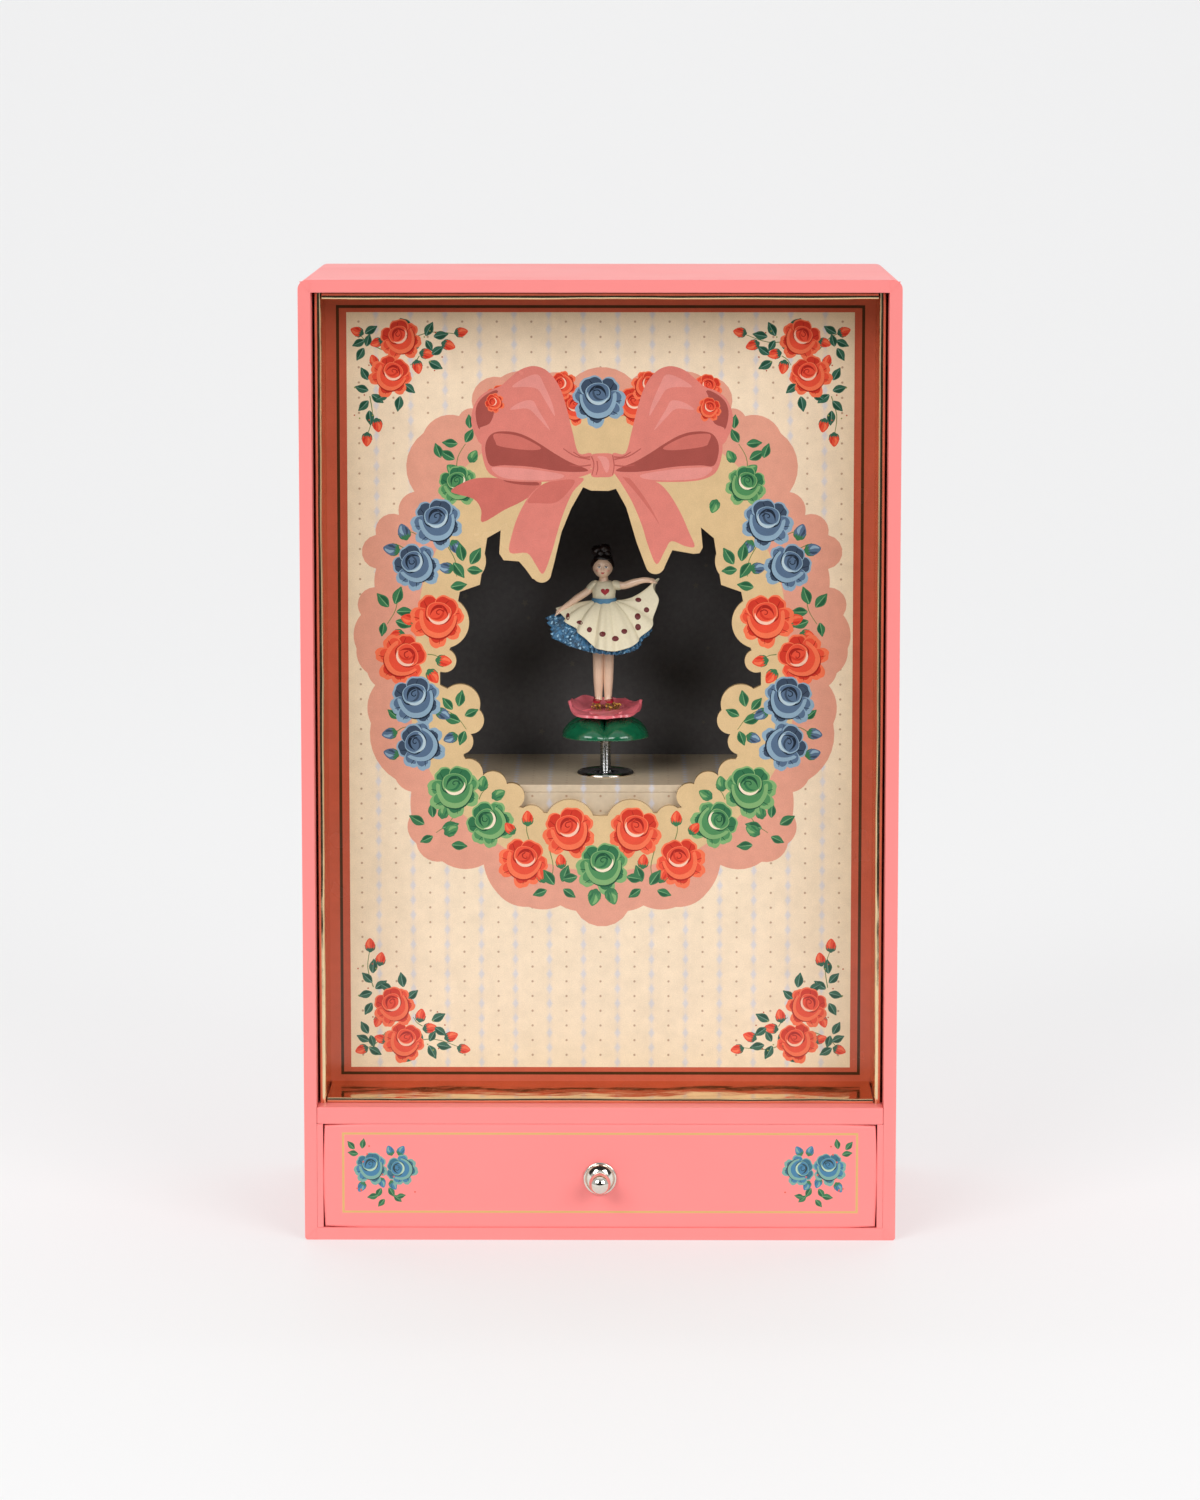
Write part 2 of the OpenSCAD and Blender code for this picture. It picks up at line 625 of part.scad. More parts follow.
module drawer_side(side) color(pink)
  block(side * (drawer_hw - drawer_wall / 2) - drawer_wall / 2,
    side * (drawer_hw - drawer_wall / 2) + drawer_wall / 2,
    front_y + drawer_face_t, drawer_rear - drawer_wall, drawer_z, drawer_side_top);

module drawer_back() color(pink)
  block(-drawer_hw, drawer_hw, drawer_rear - drawer_wall, drawer_rear, drawer_z, drawer_side_top);

module drawer_floor() color(pink)
  block(-drawer_hw + drawer_wall, drawer_hw - drawer_wall, front_y + drawer_face_t,
    drawer_rear - drawer_wall, drawer_z, drawer_z + drawer_floor_t);

module drawer_liner() color("#d98a94")
  block(-drawer_hw + drawer_wall + 0.3, drawer_hw - drawer_wall - 0.3,
    front_y + drawer_face_t + 0.3, drawer_rear - drawer_wall - 0.3,
    drawer_z + drawer_floor_t, drawer_z + drawer_floor_t + 1);

module knob() color(steel) translate([0, front_y, knob_z]) rotate([90, 0, 0]) difference() {
  union() {
    rotate_extrude() polygon([[0, 0], [5.3, 0], [5.4, 0.5], [4.9, 1.1], [3.2, 1.7], [2.2, 2.8],
      [1.9, 4.2], [2, knob_reach], [0, knob_reach]]);
    translate([0, 0, knob_reach]) sphere(knob_ball_r);
  }
  translate([0, 0, -1]) cylinder(6, r = 1.25);
}

module knob_screw() color(steel) translate([0, front_y + drawer_face_t, knob_z])
  rotate([90, 0, 0]) screw(1.2, drawer_face_t + 4, 2.8, 1.4);

// ---------- Parts ----------

case_shell();
drawer_shelf();
back_panel();
drawer_guide(-1);  // drawer_guide_left
drawer_guide(1);  // drawer_guide_right
foil_side(-1);  // foil_left
foil_side(1);  // foil_right
foil_top();
foil_floor();
scene_panel();
stage_fascia();
stage_deck();
deck_support(-1);  // deck_support_left
deck_support(1);  // deck_support_right
lining_back();
lining_side(-1);  // lining_left
lining_side(1);  // lining_right
lining_top();
spindle_escutcheon();
spindle_bush();
key_grommet();
bedplate();
standoff_posts();
mounting_screws();
front_bridge();
governor_frame();
comb_base();
comb();
movement_screws();
drawer_front();
drawer_side(-1);  // drawer_left
drawer_side(1);  // drawer_right
drawer_back();
drawer_floor();
drawer_liner();
knob();
knob_screw();
spring_barrel();
crown_gear();
mainspring();
winding_arbor();
winding_key();
pin_cylinder();
cylinder_arbor();
cylinder_gear();
governor_arbor();
worm_wheel();
fan_worm();
fan();
spindle_shaft();
spindle_pinion();
coil_spring();
spring_cap();
leaf_base();
flower();
figure_body();
figure_dress();
figure_petticoat();
figure_hair();
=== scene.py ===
"""The looks of a musical jewellery box with a turning dancer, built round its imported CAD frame."""

import json
import math
import random

import bmesh
import bpy
import numpy as np
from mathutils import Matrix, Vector, noise
from mathutils.bvhtree import BVHTree
from mathutils.geometry import delaunay_2d_cdt


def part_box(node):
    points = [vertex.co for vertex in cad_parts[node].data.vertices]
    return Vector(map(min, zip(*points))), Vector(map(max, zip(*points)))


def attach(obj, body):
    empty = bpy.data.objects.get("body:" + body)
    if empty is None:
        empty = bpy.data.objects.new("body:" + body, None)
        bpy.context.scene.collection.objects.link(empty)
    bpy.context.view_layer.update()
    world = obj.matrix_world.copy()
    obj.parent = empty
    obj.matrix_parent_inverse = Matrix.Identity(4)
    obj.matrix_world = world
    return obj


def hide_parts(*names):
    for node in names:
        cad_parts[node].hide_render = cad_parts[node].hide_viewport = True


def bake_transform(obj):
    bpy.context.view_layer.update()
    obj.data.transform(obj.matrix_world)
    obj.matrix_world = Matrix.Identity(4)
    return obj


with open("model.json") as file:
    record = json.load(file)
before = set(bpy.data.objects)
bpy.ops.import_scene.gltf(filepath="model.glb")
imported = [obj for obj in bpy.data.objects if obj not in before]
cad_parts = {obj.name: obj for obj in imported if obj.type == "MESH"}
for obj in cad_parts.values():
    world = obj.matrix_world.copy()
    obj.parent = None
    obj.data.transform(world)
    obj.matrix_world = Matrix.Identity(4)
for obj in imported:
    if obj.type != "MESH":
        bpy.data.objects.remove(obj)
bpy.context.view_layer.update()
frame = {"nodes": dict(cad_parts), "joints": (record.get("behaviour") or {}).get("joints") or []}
NODES = frame["nodes"]
MM = 0.001


def box_mm(node):
    """A CAD node's lowest and highest corners, in millimetres."""
    low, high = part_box(node)
    return low / MM, high / MM


def joint_mm(name):
    """The place of a joint's axis, in millimetres."""
    joint = next(j for j in frame["joints"] if j["name"] == name)
    return Vector(joint["pos_m"]) / MM


def placed(name, data):
    """A new object in the scene."""
    made = bpy.data.objects.new(name, data)
    bpy.context.scene.collection.objects.link(made)
    return made


# ---------- Camera, light and stage, in metres ----------

AXIS = joint_mm("spindle_turn").xy
CAMERA_DISTANCE = 1.400
CAMERA_HEIGHT = 0.385
CAMERA_SIDE = 0.0073
CAMERA_TILT = 6.83
LENS, SENSOR, LENS_SHIFT = 107.0, 36, -0.12
AIM = (0, 0, 0.15)
# Each soft box: name, place, aim, size and power
LIGHTS = [
    ("key_light", (-0.95, -1.45, 1.15), AIM, (1.1, 0.9), 19),
    ("fill_light", (1.05, -1.45, 0.95), AIM, (1.1, 0.9), 17),
    ("top_light", (0, 0.1, 1.9), (0, 0, 0.1), (1.8, 1.6), 4),
    ("backdrop_light", (0, 0.75, 2.4), (0, 2.0, 0.9), (2.4, 0.5), 13),
]
ROOM_TINT = (0.97, 0.98, 1.0, 1)
ROOM_STRENGTH = 0.55
TABLE_EDGE, TABLE_BACK = -0.48, 1.1
SWEEP, SWEEP_STEPS = 0.9, 12
STAGE_TOP, STAGE_HALF = 3.4, 3.0
# The dark room in front of the table
CARD_Y, CARD_TOP, CARD_HALF = -2.3, 2.4, 1.7
GROUND = -0.6


def add_camera():
    """A long lens a little above the box, level enough to keep its uprights nearly parallel."""
    data = bpy.data.cameras.new("camera")
    data.lens = LENS
    data.sensor_width = SENSOR
    data.shift_y = LENS_SHIFT
    data.clip_end = 50
    camera = placed("camera", data)
    camera.location = (CAMERA_SIDE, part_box("case_shell")[0].y - CAMERA_DISTANCE, CAMERA_HEIGHT)
    camera.rotation_euler = (math.radians(90 - CAMERA_TILT), 0, math.atan2(CAMERA_SIDE, CAMERA_DISTANCE))
    bpy.context.scene.camera = camera


def add_lights():
    """Two soft boxes in front, one above, one on the backdrop, and an even pale room."""
    for name, place, aim, size, power in LIGHTS:
        data = bpy.data.lights.new(name, "AREA")
        data.shape = "RECTANGLE"
        data.size, data.size_y = size
        data.energy = power
        light = placed(name, data)
        light.location = place
        light.rotation_euler = (Vector(aim) - Vector(place)).to_track_quat("-Z", "Y").to_euler()
    world = bpy.data.worlds.new("studio")
    bpy.context.scene.world = world
    world.use_nodes = True
    background = world.node_tree.nodes["Background"]
    background.inputs["Color"].default_value = ROOM_TINT
    background.inputs["Strength"].default_value = ROOM_STRENGTH
    bpy.context.scene.view_settings.view_transform = "Standard"


def stage_sheet(name, profile, half, finish):
    """A profile of (y, z) points drawn out to half on both sides, as part of the stage."""
    mesh = bpy.data.meshes.new(name)
    verts = [(x, y, z) for y, z in profile for x in (-half, half)]
    faces = [(2 * i, 2 * i + 1, 2 * i + 3, 2 * i + 2) for i in range(len(profile) - 1)]
    mesh.from_pydata(verts, [], faces)
    mesh.shade_smooth()
    mesh.materials.append(finish.material)
    sheet = placed(name, mesh)
    return sheet


def add_stage():
    """A pale table that sweeps up behind, and the dark room in front that the gloss and the foil mirror."""
    profile = [(TABLE_EDGE, 0), (TABLE_BACK, 0)]
    for i in range(1, SWEEP_STEPS + 1):
        angle = math.radians(90 * i / SWEEP_STEPS)
        profile.append((TABLE_BACK + SWEEP * math.sin(angle), SWEEP - SWEEP * math.cos(angle)))
    profile.append((TABLE_BACK + SWEEP, STAGE_TOP))
    sweep = Finish("pale_sweep", (0.40, 0.40, 0.40), 0.7, Emission_Color=(1, 1, 1, 1), Emission_Strength=0.45)
    stage_sheet("studio_floor", profile, STAGE_HALF, sweep)
    card = [(CARD_Y, CARD_TOP), (CARD_Y, GROUND), (TABLE_EDGE - 0.05, GROUND)]
    room = stage_sheet("dark_room", card, CARD_HALF, Finish("room_dark", (0.03, 0.028, 0.026), 0.9))
    room.visible_camera = False


# ---------- Materials ----------


def ink(text):
    """A colour written as six hex digits, as linear numbers."""
    shares = [int(text[i:i + 2], 16) / 255 for i in (0, 2, 4)]
    return tuple(v / 12.92 if v <= 0.04045 else ((v + 0.055) / 1.055) ** 2.4 for v in shares)


def is_socket(value):
    return isinstance(value, bpy.types.NodeSocket)


class Finish:
    """A node material with short names for what it is wired from."""

    def __init__(self, name, colour, rough, metal=0.0, **sockets):
        self.material = bpy.data.materials.new(name)
        self.material.use_nodes = True
        self.tree = self.material.node_tree
        self.shader = self.tree.nodes["Principled BSDF"]
        values = {"Base Color": (*colour, 1), "Roughness": rough, "Metallic": metal}
        values.update((key.replace("_", " "), value) for key, value in sockets.items())
        for socket, value in values.items():
            self.shader.inputs[socket].default_value = value

    def wire(self, socket, value):
        self.tree.links.new(value, self.shader.inputs[socket])

    def node(self, kind, inputs=(), **settings):
        """A new node, its inputs fed with numbers or with other nodes' outputs."""
        made = self.tree.nodes.new(kind)
        for key, value in settings.items():
            setattr(made, key, value)
        for key, value in dict(inputs).items():
            if is_socket(value):
                self.tree.links.new(value, made.inputs[key])
            else:
                made.inputs[key].default_value = value
        return made

    def place(self):
        """Places in metres, in the part's frame."""
        return self.node("ShaderNodeTexCoord").outputs["Object"]

    def inks(self):
        """The colours that the mesh carries."""
        return self.node("ShaderNodeAttribute", attribute_name="print").outputs

    def split(self, vector):
        return self.node("ShaderNodeSeparateXYZ", {0: vector}).outputs

    def math(self, operation, a, b=0.0, c=0.0):
        return self.node("ShaderNodeMath", {0: a, 1: b, 2: c}, operation=operation).outputs[0]

    def stretched(self, scale):
        return self.node("ShaderNodeMapping", {"Vector": self.place(), "Scale": scale}).outputs[0]

    def noise(self, scale, detail=3.0, rough=0.5, vector=None):
        inputs = {"Vector": vector or self.place(), "Scale": scale, "Detail": detail, "Roughness": rough}
        return self.node("ShaderNodeTexNoise", inputs).outputs["Fac"]

    def band(self, value, low, high, bottom=0.0, top=1.0):
        """value taken from low..high to bottom..top, held at both ends."""
        inputs = {"Value": value, "From Min": low, "From Max": high, "To Min": bottom, "To Max": top}
        return self.node("ShaderNodeMapRange", inputs, clamp=True).outputs[0]

    def mix(self, amount, a, b):
        made = self.node("ShaderNodeMix", {"Factor": amount}, data_type="RGBA")
        for name, value in (("A", a), ("B", b)):
            socket = next(s for s in made.inputs if s.name == name and s.type == "RGBA")
            if is_socket(value):
                self.tree.links.new(value, socket)
            else:
                socket.default_value = (*value[:3], 1)
        return next(s for s in made.outputs if s.type == "RGBA")

    def shade(self, base, amount, low, high):
        """base with a mottled light and dark, from low to high times its value."""
        base = base if is_socket(base) else (*base[:3], 1)
        inputs = {"Color": base, "Value": self.band(amount, 0.3, 0.7, low, high)}
        return self.node("ShaderNodeHueSaturation", inputs).outputs[0]

    def tint(self, base, amount, low, high):
        self.wire("Base Color", self.shade(base, amount, low, high))

    def gloss(self, amount, low, high):
        self.wire("Roughness", self.band(amount, 0.3, 0.7, low, high))

    def bump(self, height, strength, distance):
        inputs = {"Height": height, "Strength": strength, "Distance": distance}
        self.wire("Normal", self.node("ShaderNodeBump", inputs).outputs[0])


def mottled(name, colour, rough, grain=900.0, low=0.93, high=1.06, depth=0.00004, **sockets):
    """A plain finish with a fine mottle in its colour, its gloss and its surface."""
    finish = Finish(name, colour, rough, **sockets)
    fleck = finish.noise(grain, 4.0)
    finish.tint(colour, fleck, low, high)
    finish.gloss(finish.noise(grain * 0.2, 2.0), rough * 0.85, rough * 1.2)
    finish.bump(fleck, 0.35, depth)
    return finish.material


# The wallpaper's repeat, across and along, in metres
COLUMN, ROW = 0.0111, 0.0049


def wallpaper(finish, ground, across, along):
    """The printed paper's dots, and between them its small blue diamonds on faint stripes."""

    def wrapped(value, span):
        return finish.math("WRAP", value, span / 2, -span / 2)

    du, dv = wrapped(across, COLUMN), wrapped(along, ROW)
    squares = finish.math("ADD", finish.math("MULTIPLY", du, du), finish.math("MULTIPLY", dv, dv))
    dot = finish.band(finish.math("SQRT", squares), 0.00026, 0.00048, 0.62, 0.0)
    eu = finish.math("ABSOLUTE", wrapped(finish.math("ADD", across, COLUMN / 2), COLUMN))
    ev = finish.math("ABSOLUTE", wrapped(finish.math("ADD", along, ROW / 2), ROW))
    diamond = finish.band(finish.math("ADD", eu, finish.math("MULTIPLY", ev, 0.6)), 0.0006, 0.0013, 0.6, 0.0)
    stripe = finish.band(eu, 0.0003, 0.0012, 0.14, 0.0)
    with_blue = finish.mix(diamond, ground, ink("c9cbd8"))
    with_stripe = finish.mix(stripe, with_blue, ink("b9bcd0"))
    return finish.mix(dot, with_stripe, ink("8f5a3c"))


def printed_finish():
    """Glossy printed paper: its inks are the mesh's colours, and alpha says where the wallpaper shows."""
    finish = Finish("printed_paper", (0.8, 0.7, 0.6), 0.22)
    inks = finish.inks()
    place = finish.split(finish.place())
    pattern = wallpaper(finish, inks["Color"], place[0], place[2])
    printed = finish.mix(inks["Alpha"], inks["Color"], pattern)
    toned = finish.shade(printed, finish.noise(2600, 2.0, 0.6), 0.93, 1.05)
    finish.tint(toned, finish.noise(220, 4.0, 0.6), 0.94, 1.04)
    finish.gloss(finish.noise(60, 3.0), 0.17, 0.28)
    fibres = finish.math("MULTIPLY", finish.noise(1500, 3.0), 0.02)
    finish.bump(finish.math("ADD", finish.noise(26, 2.0), fibres), 0.25, 0.0004)
    return finish.material


def lining_paper(name, colour):
    """Wallpaper on the stage's floor and apron, its pattern running over the fold between them."""
    finish = Finish(name, colour, 0.45)
    place = finish.split(finish.place())
    pattern = wallpaper(finish, colour, place[0], finish.math("SUBTRACT", place[2], place[1]))
    finish.tint(pattern, finish.noise(500, 4.0), 0.93, 1.04)
    finish.bump(finish.noise(1500, 3.0), 0.3, 0.00003)
    return finish.material


def wrapped_finish(name, smoothest, roughest, printed=False):
    """Pink coated paper glued over board, plain or printed, with faint waves from the board."""
    finish = Finish(name, PINK, 0.42, Specular_IOR_Level=0.35)
    finish.tint(finish.inks()["Color"] if printed else PINK, finish.noise(40, 2.0), 0.985, 1.01)
    finish.gloss(finish.noise(30, 2.0), smoothest, roughest)
    finish.bump(finish.noise(14, 1.0), 0.1, 0.0003)
    return finish.material


def foil_finish():
    """Mirror-gold foil with soft rolling waves and fine scuffs."""
    gold = (0.86, 0.66, 0.40)
    finish = Finish("gold_foil", gold, 0.1, 1.0)
    finish.tint(gold, finish.noise(70, 3.0), 0.9, 1.06)
    finish.wire("Roughness", finish.band(finish.noise(260, 5.0, 0.7), 0.35, 0.75, 0.07, 0.2))
    finish.bump(finish.noise(1, 2.0, 0.4, finish.stretched((60, 110, 60))), 0.35, 0.0011)
    return finish.material


def brushed(name, colour, rough, scale, depth=0.00002):
    """Machined metal with fine marks that run across Z."""
    finish = Finish(name, colour, rough, 1.0)
    marks = finish.noise(1, 5.0, 0.7, finish.stretched(scale))
    finish.tint(colour, finish.noise(400, 3.0), 0.92, 1.05)
    finish.gloss(marks, rough * 0.75, rough * 1.35)
    finish.bump(marks, 0.25, depth)
    return finish.material


def net_finish():
    """Crisp blue net with glitter: a thin see-through weave sewn with small bright flakes."""
    blue = (0.03, 0.13, 0.25)
    finish = Finish("glitter_net", blue, 0.5, Sheen_Weight=0.15)
    flakes = {"Vector": finish.place(), "Scale": 1500}
    cells = finish.node("ShaderNodeTexVoronoi", flakes, feature="F1").outputs
    glint = finish.band(finish.split(cells["Color"])[0], 0.85, 0.89)
    deep = finish.shade(blue, finish.noise(700, 3.0), 0.35, 1.5)
    finish.wire("Base Color", finish.mix(glint, deep, (0.3, 0.52, 0.68)))
    finish.wire("Metallic", finish.math("MULTIPLY", glint, 0.35))
    finish.wire("Alpha", finish.band(finish.noise(2600, 2.0), 0.36, 0.5, 0.55, 1.0))
    finish.bump(cells["Distance"], 0.5, 0.0002)
    return finish.material


def painted(name, low=0.92, high=1.05, rough=0.36, coat=0.2, grain=700):
    """Moulded plastic painted by hand: its colours are the mesh's, with a brushed mottle."""
    finish = Finish(name, (0.8, 0.7, 0.6), rough, Coat_Weight=coat, Coat_Roughness=0.2)
    mottle = finish.noise(grain, 4.0, 0.6)
    finish.tint(finish.inks()["Color"], mottle, low, high)
    finish.bump(mottle, 0.4, 0.00008)
    return finish.material


# ---------- Mesh building, in millimetres ----------


def turned(n, point):
    """The points at n even angles round a full turn."""
    return [point(math.tau * i / n) for i in range(n)]


class Build:
    """Vertices and faces put together from several shapes, with a colour for each face."""

    def __init__(self):
        self.verts, self.faces, self.colours = [], [], []

    def add(self, verts, faces, colour=None):
        base = len(self.verts)
        self.verts += [tuple(v) for v in verts]
        self.faces += [tuple(i + base for i in f) for f in faces]
        self.colours += [(*(colour or (0.8, 0.8, 0.8)), 0.0)] * len(faces)

    def lathe(self, profile, centre=(0, 0, 0), n=72, colour=None, closed=False, axis="z"):
        """A profile of (radius, height) points turned round an axis. A radius of 0 closes to a pole."""
        verts, rings = [], []
        for r, h in profile:
            ring = []
            for i in range(1 if r < 1e-6 else n):
                a = math.tau * i / n
                p = (r * math.cos(a), r * math.sin(a), h)
                if axis == "y":
                    p = (p[0], h, -p[1])
                ring.append(len(verts))
                verts.append(tuple(c + q for c, q in zip(centre, p)))
            rings.append(ring)
        faces = []
        for a, b in zip(rings, rings[1:] + (rings[:1] if closed else [])):
            if len(a) == len(b) == 1:
                continue
            for i in range(n):
                j = (i + 1) % n
                if len(a) == 1:
                    faces.append((a[0], b[j], b[i]))
                elif len(b) == 1:
                    faces.append((a[i], a[j], b[0]))
                else:
                    faces.append((a[i], a[j], b[j], b[i]))
        self.add(verts, faces, colour)

    def loft(self, rings, colour=None, closed=False):
        """Rings of the same number of points joined in order, capped at both ends unless closed."""
        n = len(rings[0])
        verts = [p for ring in rings for p in ring]
        faces = []
        for k in range(len(rings) if closed else len(rings) - 1):
            a, b = k * n, ((k + 1) % len(rings)) * n
            faces += [(a + i, a + (i + 1) % n, b + (i + 1) % n, b + i) for i in range(n)]
        if not closed:
            for start, order in ((0, -1), ((len(rings) - 1) * n, 1)):
                hub = len(verts)
                verts.append(tuple(sum(verts[start + i][c] for i in range(n)) / n for c in range(3)))
                faces += [(hub, start + i, start + (i + 1) % n)[::order] for i in range(n)]
        self.add(verts, faces, colour)

    def tube(self, path, radius, sides=14, colour=None, squash=1.0, closed=False):
        """A round bar along a path. radius is one number or one for each point."""
        points = [Vector(p) for p in path]
        n = len(points)
        radii = radius if isinstance(radius, (list, tuple)) else [radius] * n
        side = None
        rings = []
        for i, p in enumerate(points):
            after = points[(i + 1) % n if closed else min(i + 1, n - 1)]
            before = points[i - 1 if closed else max(i - 1, 0)]
            way = (after - before).normalized()
            side = side or way.orthogonal().normalized()
            side = (side - way * side.dot(way)).normalized()
            other = way.cross(side)
            rings.append(turned(sides, lambda a: tuple(
                p + side * math.cos(a) * radii[i] + other * math.sin(a) * radii[i] * squash)))
        self.loft(rings, colour, closed=closed)

    def sheet(self, point, nu, nv, thick, colour=None, round_u=True):
        """A thin closed skin: point(u, v) is its outer face, and the inner face lies thick behind it."""
        cols = nu if round_u else nu + 1
        grid = [[Vector(point(i / nu, j / nv)) for j in range(nv + 1)] for i in range(cols)]
        outer, inner = [], []
        for i in range(cols):
            after = grid[(i + 1) % cols if round_u else min(i + 1, cols - 1)]
            before = grid[i - 1 if round_u else max(i - 1, 0)]
            for j, spot in enumerate(grid[i]):
                along = grid[i][min(j + 1, nv)] - grid[i][max(j - 1, 0)]
                normal = (after[j] - before[j]).cross(along)
                normal = normal.normalized() if normal.length > 1e-9 else Vector((0, 0, 1))
                outer.append(spot)
                inner.append(spot - normal * thick)

        def at(i, j, back):
            return (i % cols) * (nv + 1) + j + len(outer) * back

        faces = []
        for i in range(cols if round_u else cols - 1):
            for j in range(nv):
                faces.append((at(i, j, 0), at(i + 1, j, 0), at(i + 1, j + 1, 0), at(i, j + 1, 0)))
                faces.append((at(i, j, 1), at(i, j + 1, 1), at(i + 1, j + 1, 1), at(i + 1, j, 1)))
            for j, order in ((0, 1), (nv, -1)):
                faces.append((at(i, j, 0), at(i, j, 1), at(i + 1, j, 1), at(i + 1, j, 0))[::order])
        if not round_u:
            for i, order in ((0, -1), (cols - 1, 1)):
                for j in range(nv):
                    faces.append((at(i, j, 0), at(i, j, 1), at(i, j + 1, 1), at(i, j + 1, 0))[::order])
        self.add(outer + inner, faces, colour)

    def object(self, name, material, body, slot, sharp=None, replaces=None):
        """The finished piece, its normals outwards, riding on body and standing in for a CAD node."""
        mesh = bpy.data.meshes.new(name)
        mesh.from_pydata([tuple(c * MM for c in v) for v in self.verts], [], self.faces)
        paint = mesh.color_attributes.new("print", "FLOAT_COLOR", "CORNER")
        for face, colour in zip(mesh.polygons, self.colours):
            for corner in face.loop_indices:
                paint.data[corner].color = colour
        shell = bmesh.new()
        shell.from_mesh(mesh)
        bmesh.ops.recalc_face_normals(shell, faces=shell.faces)
        shell.to_mesh(mesh)
        shell.free()
        mesh.materials.append(material)
        mesh.shade_smooth()
        if sharp:
            mesh.set_sharp_from_angle(angle=math.radians(sharp))
        made = placed(name, mesh)
        if body:
            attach(made, body)
        if replaces:
            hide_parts(replaces)
        return made


def spline(near, t):
    """The Catmull-Rom curve between the middle two of four points."""
    return tuple(
        0.5 * (2 * b + (c - a) * t + (2 * a - 5 * b + 4 * c - d) * t * t + (3 * b - a - 3 * c + d) * t ** 3)
        for a, b, c, d in zip(*near))


def smooth(points, steps=4, closed=True):
    """A smooth curve through the points."""
    n = len(points)
    out = []
    for i in range(n if closed else n - 1):
        places = [(i + k) % n if closed else min(max(i + k, 0), n - 1) for k in (-1, 0, 1, 2)]
        out += [spline([points[k] for k in places], s / steps) for s in range(steps)]
    return out if closed else out + [tuple(points[-1])]


# ---------- Printed plates ----------

TILE = 14.0
RIM_STEPS = 4
RIM_SHARP = 50
# Drawn points closer than this are one point
WELD = 0.004


def cut(poly, axis, limit, below):
    """The part of a polygon on one side of an upright or level line."""
    out = []
    for p, q in zip(poly, poly[1:] + poly[:1]):
        p_in = p[axis] <= limit if below else p[axis] >= limit
        q_in = q[axis] <= limit if below else q[axis] >= limit
        if p_in:
            out.append(p)
        if p_in != q_in:
            t = (limit - p[axis]) / (q[axis] - p[axis])
            other = p[1 - axis] + (q[1 - axis] - p[1 - axis]) * t
            out.append((limit, other) if axis == 0 else (other, limit))
    return out


def inside(outline, xs, zs):
    """Which of the points lie inside an outline."""
    px, pz = np.array(outline).T
    qx, qz = np.roll(px, -1), np.roll(pz, -1)
    rise = np.where(qz == pz, 1e-12, qz - pz)
    crosses = (pz > zs[:, None]) != (qz > zs[:, None])
    left = xs[:, None] < (qx - px) * (zs[:, None] - pz) / rise + px
    return (crosses & left).sum(1) % 2 == 1


def tiles(low, high):
    """The rectangle's tiles, each as its lowest and highest X and Z."""
    counts = [max(1, round((high[c] - low[c]) / TILE)) for c in (0, 1)]
    edges = [[low[c] + (high[c] - low[c]) * k / counts[c] for k in range(counts[c] + 1)] for c in (0, 1)]
    return [(*xs, *zs) for xs in zip(edges[0], edges[0][1:]) for zs in zip(edges[1], edges[1][1:])]


def painted_faces(shapes, low, high, hole):
    """The visible faces of shapes painted over each other inside a rectangle, less a hole.

    Each face comes with its uppermost shape's number. The work goes tile by tile, which keeps it quick.
    """
    outlines = [s[0] for s in shapes] + ([hole] if hole else [])
    spans = [(*(f(p[c] for p in o) for c in (0, 1) for f in (min, max)),) for o in outlines]
    verts, faces, tops = [], [], []
    for x0, x1, z0, z1 in tiles(low, high):
        points, loops, numbers = [], [], []
        for number, (poly, span) in enumerate(zip(outlines, spans)):
            if span[0] >= x1 or span[1] <= x0 or span[2] >= z1 or span[3] <= z0:
                continue
            for axis, limit, below, needed in ((0, x0, False, span[0] < x0), (0, x1, True, span[1] > x1),
                                               (1, z0, False, span[2] < z0), (1, z1, True, span[3] > z1)):
                if needed and poly:
                    poly = cut(poly, axis, limit, below)
            if len(poly) >= 3:
                loops.append(list(range(len(points), len(points) + len(poly))))
                points += [Vector(p) for p in poly]
                numbers.append(number)
        flat, _, tris, _, _, _ = delaunay_2d_cdt(points, [], loops, 0, 1e-3, True)
        spots = np.array([(flat[a] + flat[b] + flat[c]) / 3 for a, b, c in tris])
        top = np.zeros(len(tris), int)
        for number in numbers[1:]:
            top[inside(outlines[number], spots[:, 0], spots[:, 1])] = number
        base = len(verts)
        verts += flat
        for tri, number in zip(tris, top):
            if number < len(shapes):
                faces.append(tuple(k + base for k in tri))
                tops.append(int(number))
    return verts, faces, tops


def outward_ways(border):
    """For each point of a flat sheet's border, the way out of the sheet."""
    ways = {}
    for e in border:
        out = (e.verts[0].co + e.verts[1].co) / 2 - e.link_faces[0].calc_center_median()
        along = (e.verts[1].co - e.verts[0].co).normalized()
        out -= along * out.dot(along)
        for v in e.verts:
            ways[v] = ways.get(v, Vector()) + out.normalized()
    return ways


def paint_corners(face, layer, colour):
    for corner in face.loops:
        corner[layer] = colour


